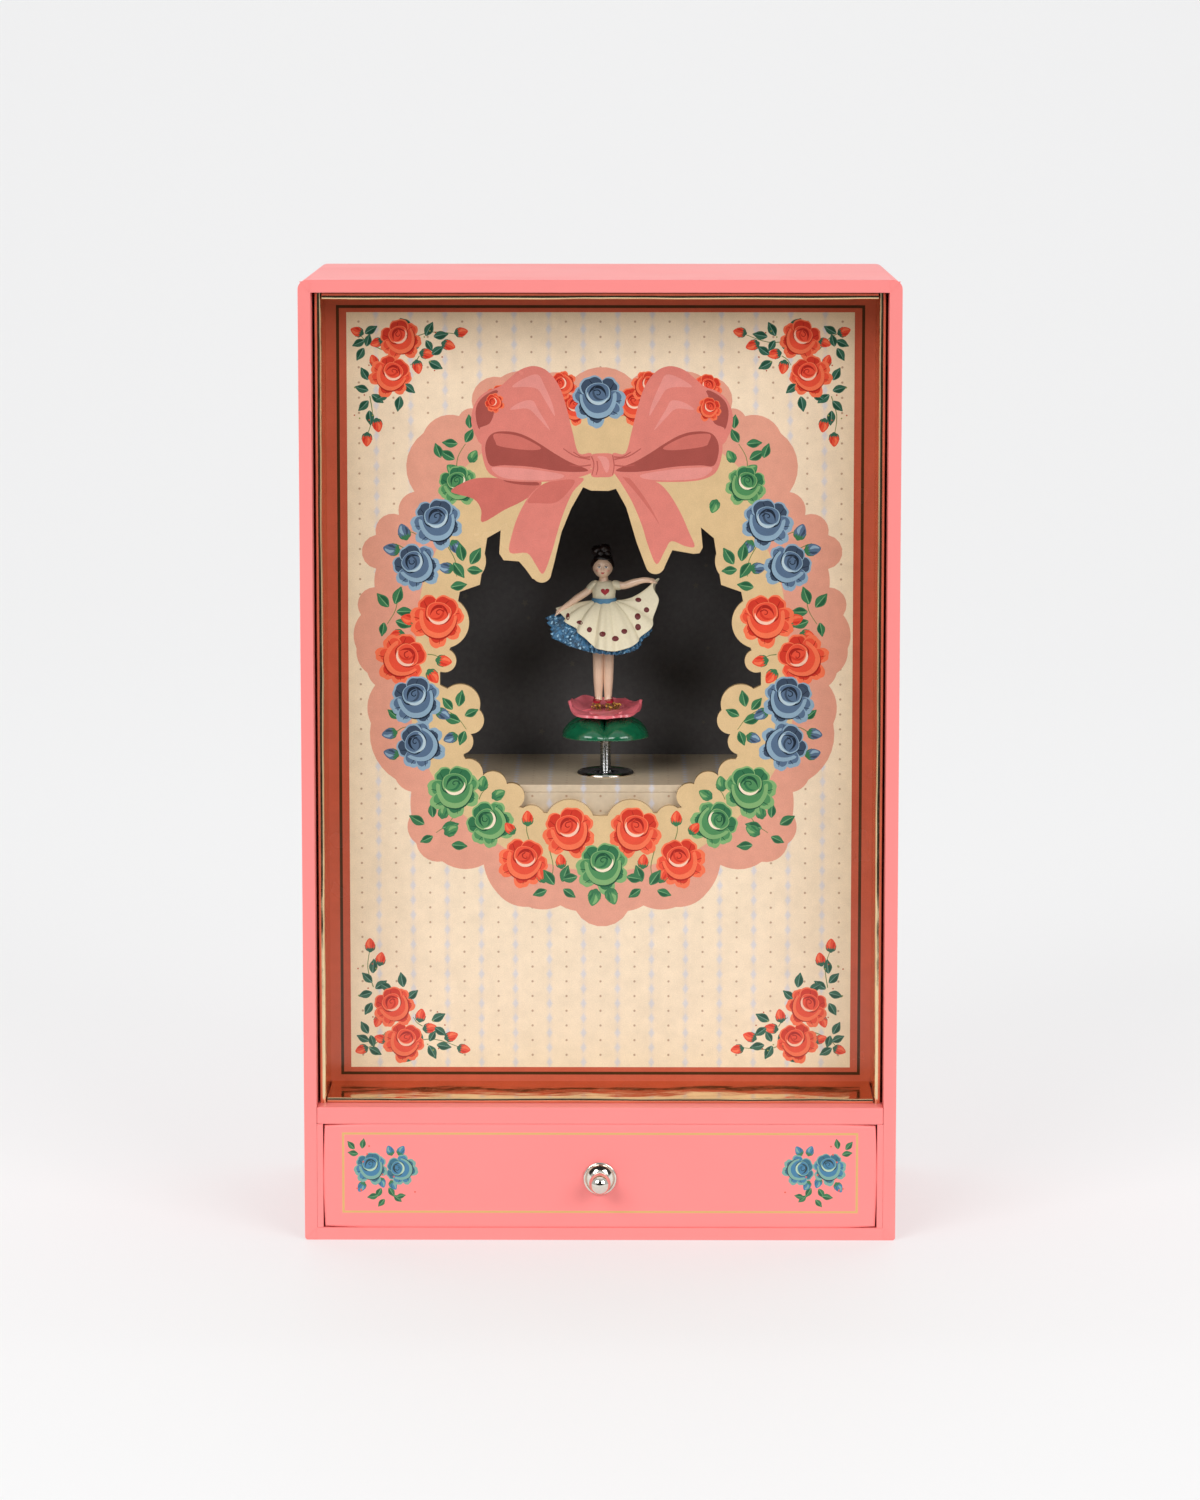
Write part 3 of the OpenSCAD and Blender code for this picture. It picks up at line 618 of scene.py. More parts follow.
def printed_plate(name, node, draw, material, body, hole=None, rim=0.0, edge=None):
    """A CAD board's looks: what draw prints on its front, a plain back, and edges rounded by rim.

    The back and the edges have the colour of edge, or that of the print's first shape.
    """
    low, high = box_mm(node)
    art = draw(low.x, high.x, low.z, high.z)
    inset = (low.x + rim, low.z + rim), (high.x - rim, high.z - rim)
    flat, faces, tops = painted_faces(art.shapes, *inset, hole)
    shell = bmesh.new()
    paint = shell.loops.layers.float_color.new("print")
    made = [shell.verts.new((p[0], low.y, p[1])) for p in flat]
    for tri, top in zip(faces, tops):
        try:
            face = shell.faces.new([made[k] for k in tri])
        except ValueError:
            continue
        paint_corners(face, paint, (*art.shapes[top][1], art.shapes[top][2]))
    bmesh.ops.remove_doubles(shell, verts=shell.verts, dist=WELD)
    bmesh.ops.delete(shell, geom=[v for v in shell.verts if not v.link_faces], context="VERTS")
    bmesh.ops.recalc_face_normals(shell, faces=shell.faces)
    if shell.faces[0].normal.y > 0:
        bmesh.ops.reverse_faces(shell, faces=shell.faces)
    border = [e for e in shell.edges if len(e.link_faces) == 1]
    ways = outward_ways(border)
    rings = [{v: v for v in ways}]
    for k in range(1, RIM_STEPS + 1) if rim else ():
        a = math.radians(90 * k / RIM_STEPS)
        sink = Vector((0, rim * (1 - math.cos(a)), 0))
        ring = {}
        for v, way in ways.items():
            unit = Vector((round(way.x), 0, round(way.z)))
            ring[v] = shell.verts.new(v.co + unit * rim * math.sin(a) + sink)
        rings.append(ring)
    rings.append({v: shell.verts.new((end.co.x, high.y, end.co.z)) for v, end in rings[-1].items()})
    sides = []
    for e in border:
        loop = next(c for c in e.link_faces[0].loops if c.edge == e)
        a, b = loop.vert, loop.link_loop_next.vert
        sides += [shell.faces.new((near[b], near[a], far[a], far[b])) for near, far in zip(rings, rings[1:])]
    rear = [shell.edges.get([rings[-1][v] for v in e.verts]) for e in border]
    filled = bmesh.ops.triangle_fill(shell, edges=rear, use_beauty=False, normal=(0, 1, 0))
    sides += [g for g in filled["geom"] if isinstance(g, bmesh.types.BMFace)]
    for face in sides:
        paint_corners(face, paint, (*(edge or art.shapes[0][1]), 0.0))
        face.smooth = False
    for face in shell.faces if rim else ():
        face.smooth = True
    bmesh.ops.recalc_face_normals(shell, faces=shell.faces)
    bmesh.ops.scale(shell, vec=(MM, MM, MM), verts=shell.verts)
    mesh = bpy.data.meshes.new(name)
    shell.to_mesh(mesh)
    shell.free()
    mesh.materials.append(material)
    if rim:
        mesh.set_sharp_from_angle(angle=math.radians(RIM_SHARP))
    plate = placed(name, mesh)
    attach(plate, body)
    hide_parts(node)


def cut_out(node):
    """The loop round the hole in a flat CAD board's front face, as (x, z) points."""
    front = box_mm(node)[0].y
    shell = bmesh.new()
    shell.from_mesh(NODES[node].data)
    bmesh.ops.scale(shell, vec=(1 / MM, 1 / MM, 1 / MM), verts=shell.verts)
    bmesh.ops.remove_doubles(shell, verts=shell.verts, dist=0.001)
    on_front = {f for f in shell.faces if all(abs(v.co.y - front) < 0.01 for v in f.verts)}
    nexts = {}
    for e in shell.edges:
        if sum(f in on_front for f in e.link_faces) == 1:
            for a, b in (e.verts, reversed(e.verts)):
                nexts.setdefault(a, []).append(b)
    loops = []
    left = set(nexts)
    while left:
        loop, here = [], next(v for v in nexts if v in left)
        while here:
            left.discard(here)
            loop.append((here.co.x, here.co.z))
            here = next((v for v in nexts[here] if v in left), None)
        loops.append(loop)
    shell.free()
    return min(loops, key=lambda loop: max(p[0] for p in loop) - min(p[0] for p in loop))


# ---------- Drawing, in millimetres across and up ----------


def moved(points, x, z, scale=1.0, angle=0.0, flip=False):
    """Points scaled, mirrored in X if flip, turned by angle degrees and shifted."""
    c, s = math.cos(math.radians(angle)), math.sin(math.radians(angle))
    side = -1 if flip else 1
    return [(x + scale * (side * a * c - b * s), z + scale * (side * a * s + b * c)) for a, b in points]


def sized(points, across, up):
    return [(a * across, b * up) for a, b in points]


def dot(x, z, r):
    return turned(6, lambda a: (x + r * math.cos(a), z + r * math.sin(a)))


def rectangle(x0, z0, x1, z1):
    return [(x0, z0), (x1, z0), (x1, z1), (x0, z1)]


def frame_band(x0, x1, z0, z1, w):
    """Four strips of width w that make a thin frame."""
    return [rectangle(x0, z0, x1, z0 + w), rectangle(x0, z1 - w, x1, z1),
            rectangle(x0, z0 + w, x0 + w, z1 - w), rectangle(x1 - w, z0 + w, x1, z1 - w)]


def stroke(points, width, tip):
    """A thin ribbon along an open line, going evenly from width to tip at its end."""
    left, right = [], []
    n = len(points)
    for i, (x, z) in enumerate(points):
        a = points[max(i - 1, 0)]
        b = points[min(i + 1, n - 1)]
        d = math.hypot(b[0] - a[0], b[1] - a[1]) or 1
        w = (width + (tip - width) * i / (n - 1)) / 2
        nx, nz = -(b[1] - a[1]) / d * w, (b[0] - a[0]) / d * w
        left.append((x + nx, z + nz))
        right.append((x - nx, z - nz))
    return left + right[::-1]


class Art:
    """Flat shapes in painting order. Each is (outline, colour, paper): paper 1 shows the wallpaper's dots."""

    def __init__(self):
        self.shapes = []

    def add(self, points, colour, paper=0.0):
        self.shapes.append((points, colour, paper))

    def draw(self, layers, tones, *place):
        """Layers of (outline, tone), moved to a place."""
        for outline, tone in layers:
            self.add(moved(outline, *place), tones[tone])


def palette(**tones):
    return {tone: ink(text) for tone, text in tones.items()}


ORANGE = palette(deep="a5271f", dark="cd3a2a", mid="e4513a", light="ef7450", pale="f4c6ae")
BLUE = palette(deep="222c3a", dark="3d4c60", mid="566d88", light="8aa6ba", pale="b3c8d2")
GREEN = palette(deep="24533a", dark="34704a", mid="4f8a58", light="7fab70", pale="f0dfc4")
TEAL = palette(deep="2a3f42", dark="386a80", mid="457c9e", light="79a59a", pale="b3cbb0")
LEAF = palette(deep="2b5c3f", dark="3d764f", light="7aa878")
LEAF_COOL = palette(deep="244e3e", dark="386552", light="74998a")
STEM = ink("6d7f4a")
PINK_PRINT = ink("f78b88")
NIGHT_GREY = ink("5b5858")
RIBBON = palette(dark="a35149", side="cb6f64", mid="d98074", light="e19289", line="b25b53")

# One rounded petal, from its base at the origin out along +X
PETAL = smooth([(0, 0.16), (0.3, 0.34), (0.62, 0.47), (0.9, 0.34), (0.96, 0.08), (1, -0.14), (0.86, -0.4),
                (0.55, -0.46), (0.25, -0.32), (0, -0.16)], 3)
# A crescent that opens upwards, for the rims round a rose's heart
CRESCENT = smooth([(-1, 0.35), (-0.86, -0.35), (-0.35, -0.86), (0.35, -0.86), (0.86, -0.35), (1, 0.35),
                   (0.78, -0.1), (0.3, -0.5), (-0.3, -0.5), (-0.78, -0.1)], 3)
# A rose's broad front petal, and the bowl round its heart
FRONT_PETAL = smooth([(-0.66, 0.24), (-0.62, -0.2), (-0.34, -0.6), (0.12, -0.7), (0.5, -0.52), (0.72, -0.1),
                      (0.7, 0.3), (0.42, 0.04), (0.08, -0.1), (-0.34, 0.0)], 3)
BOWL = smooth([(-0.5, 0.16), (-0.4, -0.12), (-0.02, -0.24), (0.34, -0.14), (0.5, 0.14), (0.46, 0.42),
               (0.16, 0.6), (-0.2, 0.58), (-0.44, 0.42)], 3)
# A rose's outer petals: angle, length, width and how much of it its darker inside takes up
OUTER_PETALS = [(128, 1.0, 0.82, 0.9), (20, 1.04, 0.74, 0.9), (74, 1.0, 1.0, 0.9), (178, 1.02, 0.76, 0.84),
                (-28, 1.06, 0.7, 0.84), (228, 1.06, 0.66, 0.84), (-80, 1.1, 0.72, 0.84)]
# The shapes over them: outline, size across and up, place, turn and tone
ROSE_MIDDLE = [
    (FRONT_PETAL, 1, 1, 0.03, -0.06, 0, "deep"), (FRONT_PETAL, 1, 1, 0, 0, 0, "light"),
    (FRONT_PETAL, 0.82, 0.8, 0.02, 0.06, 0, "mid"), (BOWL, 1, 1, 0.02, 0.05, 0, "deep"),
    (BOWL, 0.94, 0.92, 0.02, 0.1, 0, "light"), (BOWL, 0.84, 0.8, 0.02, 0.15, 0, "mid"),
    (CRESCENT, 0.4, 0.3, 0.08, 0.1, 22, "pale"), (CRESCENT, 0.34, 0.34, 0.04, 0.26, 190, "deep"),
    (CRESCENT, 0.3, 0.24, 0.0, 0.24, 60, "dark"),
]
LEAF_SHAPE = smooth([(0, 0), (0.2, 0.2), (0.42, 0.29), (0.66, 0.24), (0.86, 0.11), (1.02, 0), (0.84, -0.13),
                     (0.62, -0.26), (0.4, -0.29), (0.18, -0.19)], 3)
LEAF_LAYERS = [
    (LEAF_SHAPE, "dark"),
    (stroke([(0.04, 0), (0.5, 0.015), (0.88, 0)], 0.05, 0.015), "light"),
    (smooth([(0.1, -0.03), (0.4, -0.05), (0.8, -0.03), (0.6, -0.2), (0.35, -0.22)], 2), "deep"),
]
BUD_LAYERS = [(moved(LEAF_SHAPE, -1.05, 0, 1.35, angle), "leaf") for angle in (-39, 39)] + [
    (smooth([(-0.95, 0), (-0.6, 0.62), (0.1, 0.8), (0.8, 0.45), (1.15, 0), (0.8, -0.45), (0.1, -0.8),
             (-0.6, -0.62)], 3), "mid"),
    (smooth([(-0.4, 0.1), (0.1, 0.55), (0.75, 0.3), (0.9, 0), (0.3, 0.12)], 2), "light"),
    (smooth([(-0.6, -0.2), (0, -0.65), (0.6, -0.42), (0.1, -0.3)], 2), "dark"),
    (smooth([(-1.25, 0), (-0.95, 0.42), (-0.35, 0.5), (-0.62, 0.12), (-0.2, 0), (-0.62, -0.12), (-0.35, -0.5),
             (-0.95, -0.42)], 2), "leaf"),
]


def rose(art, x, z, r, angle, tones, flip=False, fold=0):
    """A full rose: broad outer petals with lit rims, a wide front petal and a small coiled heart."""
    layers = []
    for k, (way, length, width, inner) in enumerate(OUTER_PETALS):
        way += 8 * math.sin(k * 2.1 + fold)
        whole = sized(PETAL, length, width)
        vein = stroke([(0.42, 0.02), (0.62, 0.08), (0.84 * length, 0.05)], 0.05, 0.02)
        layers.append((moved(whole, 0, 0, 1, way), "light"))
        layers.append((moved(sized(whole, inner, inner), 0, 0.03, 1, way), "mid" if k % 2 else "dark"))
        layers.append((moved(vein, 0, 0, 1, way), "deep"))
    for outline, across, up, dx, dz, turn, tone in ROSE_MIDDLE:
        layers.append((moved(sized(outline, across, up), dx, dz, 1, turn), tone))
    turns = [(0.2 - 0.035 * i, 0.17 - 0.03 * i, 0.95 * i + fold) for i in range(6)]
    coil = [(0.05 + across * math.cos(a), 0.25 + up * math.sin(a)) for across, up, a in turns]
    layers.append((stroke(smooth(coil, 3, closed=False), 0.05, 0.03), "deep"))
    art.draw(layers, tones, x, z, r, -angle if flip else angle, flip)


def leaf(art, x, z, length, angle, leaves=LEAF):
    art.draw(LEAF_LAYERS, leaves, x, z, length, angle)


def bud(art, x, z, r, angle, tones, leaves=LEAF):
    """A closed bud, its stalk end towards the origin and its tip along angle."""
    art.draw(BUD_LAYERS, {**tones, "leaf": leaves["dark"]}, x, z, r, angle)


def stem(art, x0, z0, x1, z1, bend):
    """A thin bent stalk between two points."""
    middle = ((x0 + x1) / 2 - (z1 - z0) * bend, (z0 + z1) / 2 + (x1 - x0) * bend)
    art.add(stroke(smooth([(x0, z0), middle, (x1, z1)], 4, closed=False), 0.32, 0.2), STEM)


def plant(art, runs, at, turn, flip, leaves=LEAF, bend=0.1, size=1.0, rose_side=1):
    """Runs of stems, leaves, buds and roses. at places a point and turn an angle, both maybe mirrored."""
    for kind, tones, rows in runs:
        for x, z, *rest in rows:
            if kind == "stem":
                stem(art, *at(x, z), *at(*rest), bend)
            elif kind == "leaf":
                leaf(art, *at(x, z), rest[0] * size, turn(rest[1]), leaves)
            elif kind == "bud":
                bud(art, *at(x, z), rest[0] * size, turn(rest[1]), tones, leaves)
            else:
                rose(art, *at(x, z), rest[0] * size, rose_side * rest[1], tones, flip, rest[2])


# The wreath's left half, from its axis and from the base: x, z and the rise of the arc to the next point
WREATH = [
    (-9.6, 272.8, 2), (-20, 273.5, 2), (-32.5, 273.5, 4), (-41.5, 263.5, 0.8), (-46, 261, 2.5),
    (-57.5, 255.5, 4), (-60.5, 236.5, 2), (-65.5, 229, 3), (-73, 222.5, 4.6), (-73, 211.5, 0.3),
    (-73.5, 205.5, 3), (-78, 196.5, 1.6), (-79.5, 185.5, 1.2), (-76, 177.5, 0.4), (-73.5, 173.5, 1.8),
    (-75, 161, 3.2), (-67, 142.5, 0.8), (-62, 138.5, 0.3), (-62, 131, 2), (-60.5, 121.5, 2.2),
    (-52, 115.5, 2), (-38.5, 114.5, 0.8), (-34, 105, 1.4), (-24, 100.5, 1.1), (-13.5, 101, 0.3),
    (-8.5, 99.2, 5.2),
]
WREATH_TOP_RISE = 4
# The line between the wreath's two grounds, behind its flowers: the left half
MID_LINE = [(0, 262), (-14, 264), (-40, 248), (-50, 236), (-52, 222), (-58, 206), (-60, 190), (-62, 174),
            (-61, 158), (-54, 142), (-44, 130), (-30, 119), (-14, 114), (0, 112)]
WREATH_X = 0.5
# How far the drawing of the wreath and the bow is moved up on the panel
WREATH_RISE = 2.6

# The flowers on the wreath's left half, in painting order: stems by their ends, leaves and buds by place,
# size and angle, and roses by place, radius, angle and fold
RING = [
    # beside the bow
    ("stem", None, [(-47, 243, -44, 252)]),
    ("leaf", None, [(-47.5, 247, 5.5, 150), (-46.5, 252, 5, 175), (-44, 252.5, 5, 60), (-42.5, 257, 4.5, 95),
                    (-52, 247.5, 5, 110)]),
    ("bud", GREEN, [(-41.5, 248, 1.9, 60), (-48, 243.5, 2.2, 140)]),
    ("rose", GREEN, [(-46.5, 238.5, 6.5, 20, 1)]),
    ("bud", GREEN, [(-36.2, 231.8, 2.0, -70)]),
    # upper blue pair
    ("stem", None, [(-64, 224, -58, 221), (-66.5, 219.5, -60, 214)]),
    ("bud", BLUE, [(-64, 223.5, 2.4, 110), (-68, 217.8, 2.4, 170)]),
    ("stem", None, [(-50, 219, -47, 209)]),
    ("bud", BLUE, [(-47.2, 218.5, 2.2, -60), (-50.5, 211.8, 2.2, 170)]),
    ("leaf", None, [(-45, 214, 6, 100), (-42.5, 213, 6.2, 58), (-43.6, 211.2, 5, -5), (-48, 213.5, 6, -55),
                    (-49, 205.5, 5.4, 10)]),
    ("rose", BLUE, [(-53.5, 226.3, 8.2, 6, 0), (-60.2, 212.2, 7.6, 40, 2)]),
    # orange pair
    ("stem", None, [(-66, 203.5, -69.5, 193.5), (-62, 191.5, -54, 190)]),
    ("leaf", None, [(-67, 200, 6, 70), (-69, 199, 5.8, 130), (-66.5, 197.5, 5.5, 0), (-70.5, 194, 4.6, -100),
                    (-66.8, 194.5, 5.5, -20)]),
    ("bud", ORANGE, [(-62.5, 195, 2.3, 165), (-66.5, 189.8, 2.2, 195)]),
    ("rose", ORANGE, [(-53.5, 195, 8.6, -12, 0.6)]),
    ("stem", None, [(-56.5, 183.6, -52, 182)]),
    ("bud", ORANGE, [(-51.2, 181.4, 2.3, -8), (-54.8, 176.4, 2.3, -55)]),
    ("rose", ORANGE, [(-65, 182.4, 8.2, -60, 2.4)]),
    # lower blue pair
    ("stem", None, [(-52, 166, -44, 159)]),
    ("leaf", None, [(-46.5, 166.5, 5.5, 78), (-44.5, 163.5, 4.8, 25), (-46, 161.5, 6, 160),
                    (-44.5, 158.5, 5, -110), (-48.5, 165.5, 5, 130)]),
    ("bud", BLUE, [(-51.5, 164, 2.2, -30), (-49.2, 156.2, 2.1, -160)]),
    ("stem", None, [(-67, 158, -62, 160)]),
    ("bud", BLUE, [(-69, 157.6, 2.2, 190), (-68.5, 151, 2.2, 165)]),
    ("leaf", None, [(-66, 162.5, 4.6, 140)]),
    ("rose", BLUE, [(-60.6, 168.4, 8.2, 12, 1.2), (-59, 153.6, 7.8, 60, 0.2)]),
    # green pair
    ("stem", None, [(-47, 133, -54, 125)]),
    ("leaf", None, [(-55, 130, 4.8, 95), (-57.8, 127.8, 5.6, 150), (-52, 126.5, 5.6, 15),
                    (-55, 123.8, 4.6, 205), (-49, 121, 5.2, -5)]),
    ("bud", GREEN, [(-51.5, 132, 2.1, 75), (-49, 125.8, 2.2, 30)]),
    ("stem", None, [(-40, 136, -37, 140)]),
    ("bud", GREEN, [(-38.8, 141.3, 2.2, 80), (-33.6, 137.6, 2.1, 30)]),
    ("rose", GREEN, [(-48.3, 139, 8.4, -4, 0), (-36.6, 128, 7.6, 48, 1.7)]),
    # bottom oranges
    ("stem", None, [(-23.5, 122, -24, 130)]),
    ("bud", ORANGE, [(-24.2, 129.8, 2.2, 92), (-30, 126.4, 2, 130)]),
    ("rose", ORANGE, [(-10.9, 125.2, 8.4, 10, 1), (-25.8, 115.4, 8, -20, 2)]),
    ("stem", None, [(-17, 119, -17, 108)]),
    ("bud", ORANGE, [(-13.4, 115.6, 2.1, 95), (-19.6, 110.8, 2.1, 110)]),
    ("leaf", None, [(-13, 108.8, 5.8, 70), (-15.6, 107.8, 6, 125), (-12.6, 106.4, 4.8, -35),
                    (-18, 106, 4.8, 200), (-8, 110.5, 5.5, 190)]),
]
# One corner's spray, from the corner of the wallpaper inwards and down
SPRAY = [
    ("stem", None, [(12, 12, 4, 6), (20, 9, 36, 7), (24, 14, 21, 17), (8, 27, 7, 40)]),
    ("bud", ORANGE, [(4, 6.2, 1.9, 160), (10.2, 9.8, 1.8, 200), (9.4, 15.6, 1.8, 110), (37.5, 6.4, 1.9, 10),
                     (33.4, 10.6, 2, -20), (26.4, 13.4, 2, -10), (23.4, 17.6, 2, -80), (10.4, 36.4, 2, -80),
                     (7, 41, 2, -92)]),
    ("leaf", None, [(6.5, 6.8, 4.6, 30), (6.5, 9, 4.4, 205), (6.2, 11.5, 4.6, 240), (7, 11, 4.2, 75),
                    (21.4, 5.5, 5, 135), (26, 7.6, 5, 62), (28.6, 7.8, 4.8, 10), (26.2, 9, 4, -60),
                    (28, 13.6, 4.6, 35), (27, 15.8, 5, -28), (21.5, 12.5, 5, 60), (7.5, 21.8, 4.6, 120),
                    (7.6, 25.2, 4.6, 165), (7.6, 28.5, 4.6, 225), (8.6, 26.5, 4.6, -35),
                    (7.8, 31.6, 4.8, -85), (14, 26, 4.6, -150), (17.8, 27, 5, -100), (19, 23, 4.6, -40)]),
    ("rose", ORANGE, [(17.8, 8.8, 6.6, 25, 1.4), (14.6, 20.4, 6.7, -30, 0.2)]),
]
# One of the drawer's sprays, without its roses
DRAWER_SPRAY = [
    ("leaf", None, [(-4.4, 7.2, 3.4, 130), (-2, 7.4, 3.4, 80), (-3.2, 5.6, 3.4, 170), (4.2, -5.6, 3.5, -120),
                    (6.6, -5.4, 3.5, -60), (3.2, -8, 3.6, 190), (5.2, -9.2, 3.2, -130), (8.2, -8, 3.2, -40),
                    (9, -8.4, 3, 10)]),
    ("bud", TEAL, [(7, 6.8, 1.5, 110), (10.6, 6.8, 1.5, 60), (4.4, -3.8, 1.5, -70), (8, -4.6, 1.5, -60),
                   (-2.2, -5.2, 1.6, -120)]),
]

# The bow's left half in painting order, each shape as its tone and its points. The two tails differ
TAILS = {
    False: [
        ("side", [(-34.5, 241), (-27, 240), (-19.5, 239.8), (-22.5, 235.7), (-26.5, 233), (-31.5, 230.6),
                  (-38.6, 226.6), (-39, 230.6), (-41.5, 234.2), (-48.6, 236.4), (-46, 238.8), (-41, 240.8)]),
        ("dark", [(-30.5, 241), (-22, 240), (-20.5, 238.6), (-27, 238.9), (-31.5, 240)]),
        ("mid", [(-16.5, 240), (-6, 241), (-9.5, 236.3), (-12.5, 229.4), (-14.5, 223), (-16.3, 216.7),
                 (-19, 209.9), (-21.5, 213), (-24.2, 216.6), (-29.8, 216.8), (-29, 223), (-26.5, 230),
                 (-22.5, 236.3)]),
        ("side", [(-17.5, 239.6), (-9, 240.4), (-11, 236.4), (-15, 233), (-20.6, 232.8), (-24, 233.2),
                  (-21.4, 237)]),
    ],
    True: [
        ("mid", [(-3.7, 243.3), (-7.2, 244), (-13, 240.8), (-18, 239.5), (-21.8, 235.7), (-25.5, 229.4),
                 (-28, 223.6), (-29.9, 218.8), (-26.8, 218.9), (-22.4, 220.5), (-20.3, 217.4), (-17.6, 213),
                 (-14.8, 219.2), (-12.9, 225.5), (-9.7, 233.2), (-6, 239.5)]),
        ("side", [(-6.5, 241.5), (-9, 240.8), (-14.5, 233.5), (-18.5, 226), (-16, 229.6), (-11.5, 235.6)]),
    ],
}
# The standing loop, its far mouth and its lit folds
STANDING_LOOP = [
    ("mid", [(-3.5, 249), (-7.5, 249), (-9.5, 256), (-11.5, 264), (-13.5, 270), (-16, 274), (-19, 276.4),
             (-22.5, 277.1), (-26.5, 275.8), (-30, 273), (-33, 270.5), (-37, 269), (-40, 266.5),
             (-41.8, 262.5), (-42, 258.5), (-40.6, 254.5), (-37, 251), (-20, 248), (-8, 244.5),
             (-3, 244.5)]),
    ("dark", [(-40.7, 261.5), (-39.8, 265.4), (-36.8, 268.2), (-33.4, 269), (-34.6, 262.5), (-36.2, 258.6),
              (-39.4, 256.6)]),
    ("mid", [(-33.4, 269), (-26, 272), (-20, 268), (-24, 258), (-32, 252), (-39.4, 256.6), (-36.2, 258.6),
             (-34.6, 262.5)]),
    ("light", [(-29, 270.4), (-25.2, 273.1), (-20.7, 274.4), (-18.6, 271), (-16.2, 265.5), (-15.2, 261),
               (-18.2, 265.8), (-20.7, 269.6), (-24.5, 270.4)]),
    ("light", [(-29.6, 263), (-26.4, 265.4), (-22.4, 266), (-20.5, 263), (-16.7, 256.4), (-20.7, 260.6),
               (-24, 263.4)]),
]
# The rose that looks out over each standing loop: place, radius and angle
LOOP_ROSES = {False: (-34.6, 265.2, 3.1, 60), True: (34.5, 263.2, 3.9, 20)}
# The open loop in front: its ribbon, its mouth, its inner band and its lower lip
OPEN_LOOP = [
    ("mid", [(-38.8, 250), (-38, 254), (-35.5, 256.8), (-30, 257.4), (-24.5, 255.9), (-19.5, 252.8),
             (-14.5, 249.4), (-9, 246), (-3, 243.6), (-6, 241.6), (-13, 240.3), (-19.5, 239.7),
             (-28.5, 239.9), (-33.8, 241), (-37.2, 243.6)]),
    ("dark", [(-37.6, 249.6), (-37, 253.4), (-34.6, 255.7), (-29.7, 256), (-25, 254.8), (-20.3, 252.2),
              (-15.4, 249), (-10.5, 246.2), (-4.4, 243.5), (-9, 242.9), (-15.5, 243.4), (-23, 244.6),
              (-31.5, 245.1), (-36, 245)]),
    ("side", [(-34.7, 255.2), (-34.3, 252.6), (-32.8, 251.2), (-24, 250), (-19.6, 250.6), (-24.6, 253.6),
              (-29, 255)]),
    ("light", [(-35.6, 244.2), (-31.5, 244.4), (-23, 243.8), (-13, 242.2), (-13.4, 240.8), (-19.6, 240.2),
               (-28.5, 240.5), (-33.2, 241.6)]),
]
CREASES = [[(-12.5, 250.5), (-8.5, 248), (-3.8, 247)], [(-10.5, 245.2), (-7, 244.8), (-3.6, 245.2)],
           [(-9.3, 249.4), (-6.5, 247.8), (-3.8, 247.8)]]
KNOT = [(-3.6, 248.3), (0, 249), (3.5, 248.5), (4, 245), (3.5, 241.7), (0, 241.2), (-3.4, 241.6), (-3.3, 245)]
KNOT_SHINE = [(-1.5, 248), (1.5, 247.6), (2.4, 245), (1.6, 242.6), (0.4, 244.4), (-0.4, 246.4)]
KNOT_CREASES = [[(-3.4, 248), (-2.6, 245.5), (-3.2, 242)], [(3.4, 248.4), (3.9, 245), (3.4, 242)],
                [(-1.6, 246.5), (-1.4, 244), (-1.9, 242)]]


def arc(a, b, rise, n=7):
    """Points from a to b on an arc that bulges to the left of the way from a to b by rise."""
    chord = math.hypot(b[0] - a[0], b[1] - a[1])
    r = (chord * chord / 4 + rise * rise) / (2 * rise)
    ux, uz = (b[0] - a[0]) / chord, (b[1] - a[1]) / chord
    mx, mz = (a[0] + b[0]) / 2 + uz * (r - rise), (a[1] + b[1]) / 2 - ux * (r - rise)
    start = math.atan2(a[1] - mz, a[0] - mx)
    turn = math.atan2(b[1] - mz, b[0] - mx) - start
    turn -= math.tau if turn > 0 else 0
    angles = [start + turn * i / n for i in range(n)]
    return [(mx + r * math.cos(angle), mz + r * math.sin(angle)) for angle in angles]


def wreath_outline():
    """The wreath's scalloped edge: from the bottom up the left side, and down the right."""
    rises = [rise for _, _, rise in WREATH]
    loop = [(x, z) for x, z, _ in WREATH[::-1]] + [(-x, z) for x, z, _ in WREATH]
    bulges = rises[-2::-1] + [WREATH_TOP_RISE] + rises
    arcs = [arc(a, b, rise) for a, b, rise in zip(loop, loop[1:] + loop[:1], bulges)]
    return [(x + WREATH_X, z) for points in arcs for x, z in points]


def flower_ring(art):
    """The wreath's flowers, buds and leaves, the same on both sides, and those on its middle line."""
    for side, flip in ((1, False), (-1, True)):

        def at(x, z):
            return WREATH_X + side * x, z

        plant(art, RING, at, lambda a: 180 - a if flip else a, flip, bend=0.1 * side)
    rose(art, WREATH_X, 113.6, 8.4, 0, GREEN, False, 0.4)
    bud(art, WREATH_X - 2.6, 103.6, 2.5, -105, GREEN)
    bud(art, WREATH_X + 3.2, 104, 2.5, -70, GREEN)
    # behind the bow
    for x, z, r, a in ((-33, 266.5, 4.6, 20), (-9, 263.5, 5.2, 0), (-12.5, 271, 4.4, 60), (10.5, 264.5, 6, 0),
                       (14.5, 270.5, 5, 40), (34, 270, 4.6, 20), (31.5, 263.5, 5.6, 0)):
        rose(art, WREATH_X + x, z, r, a, ORANGE, x > 0)
    rose(art, -0.4, 266.2, 8.4, -6, BLUE, True, 0.9)


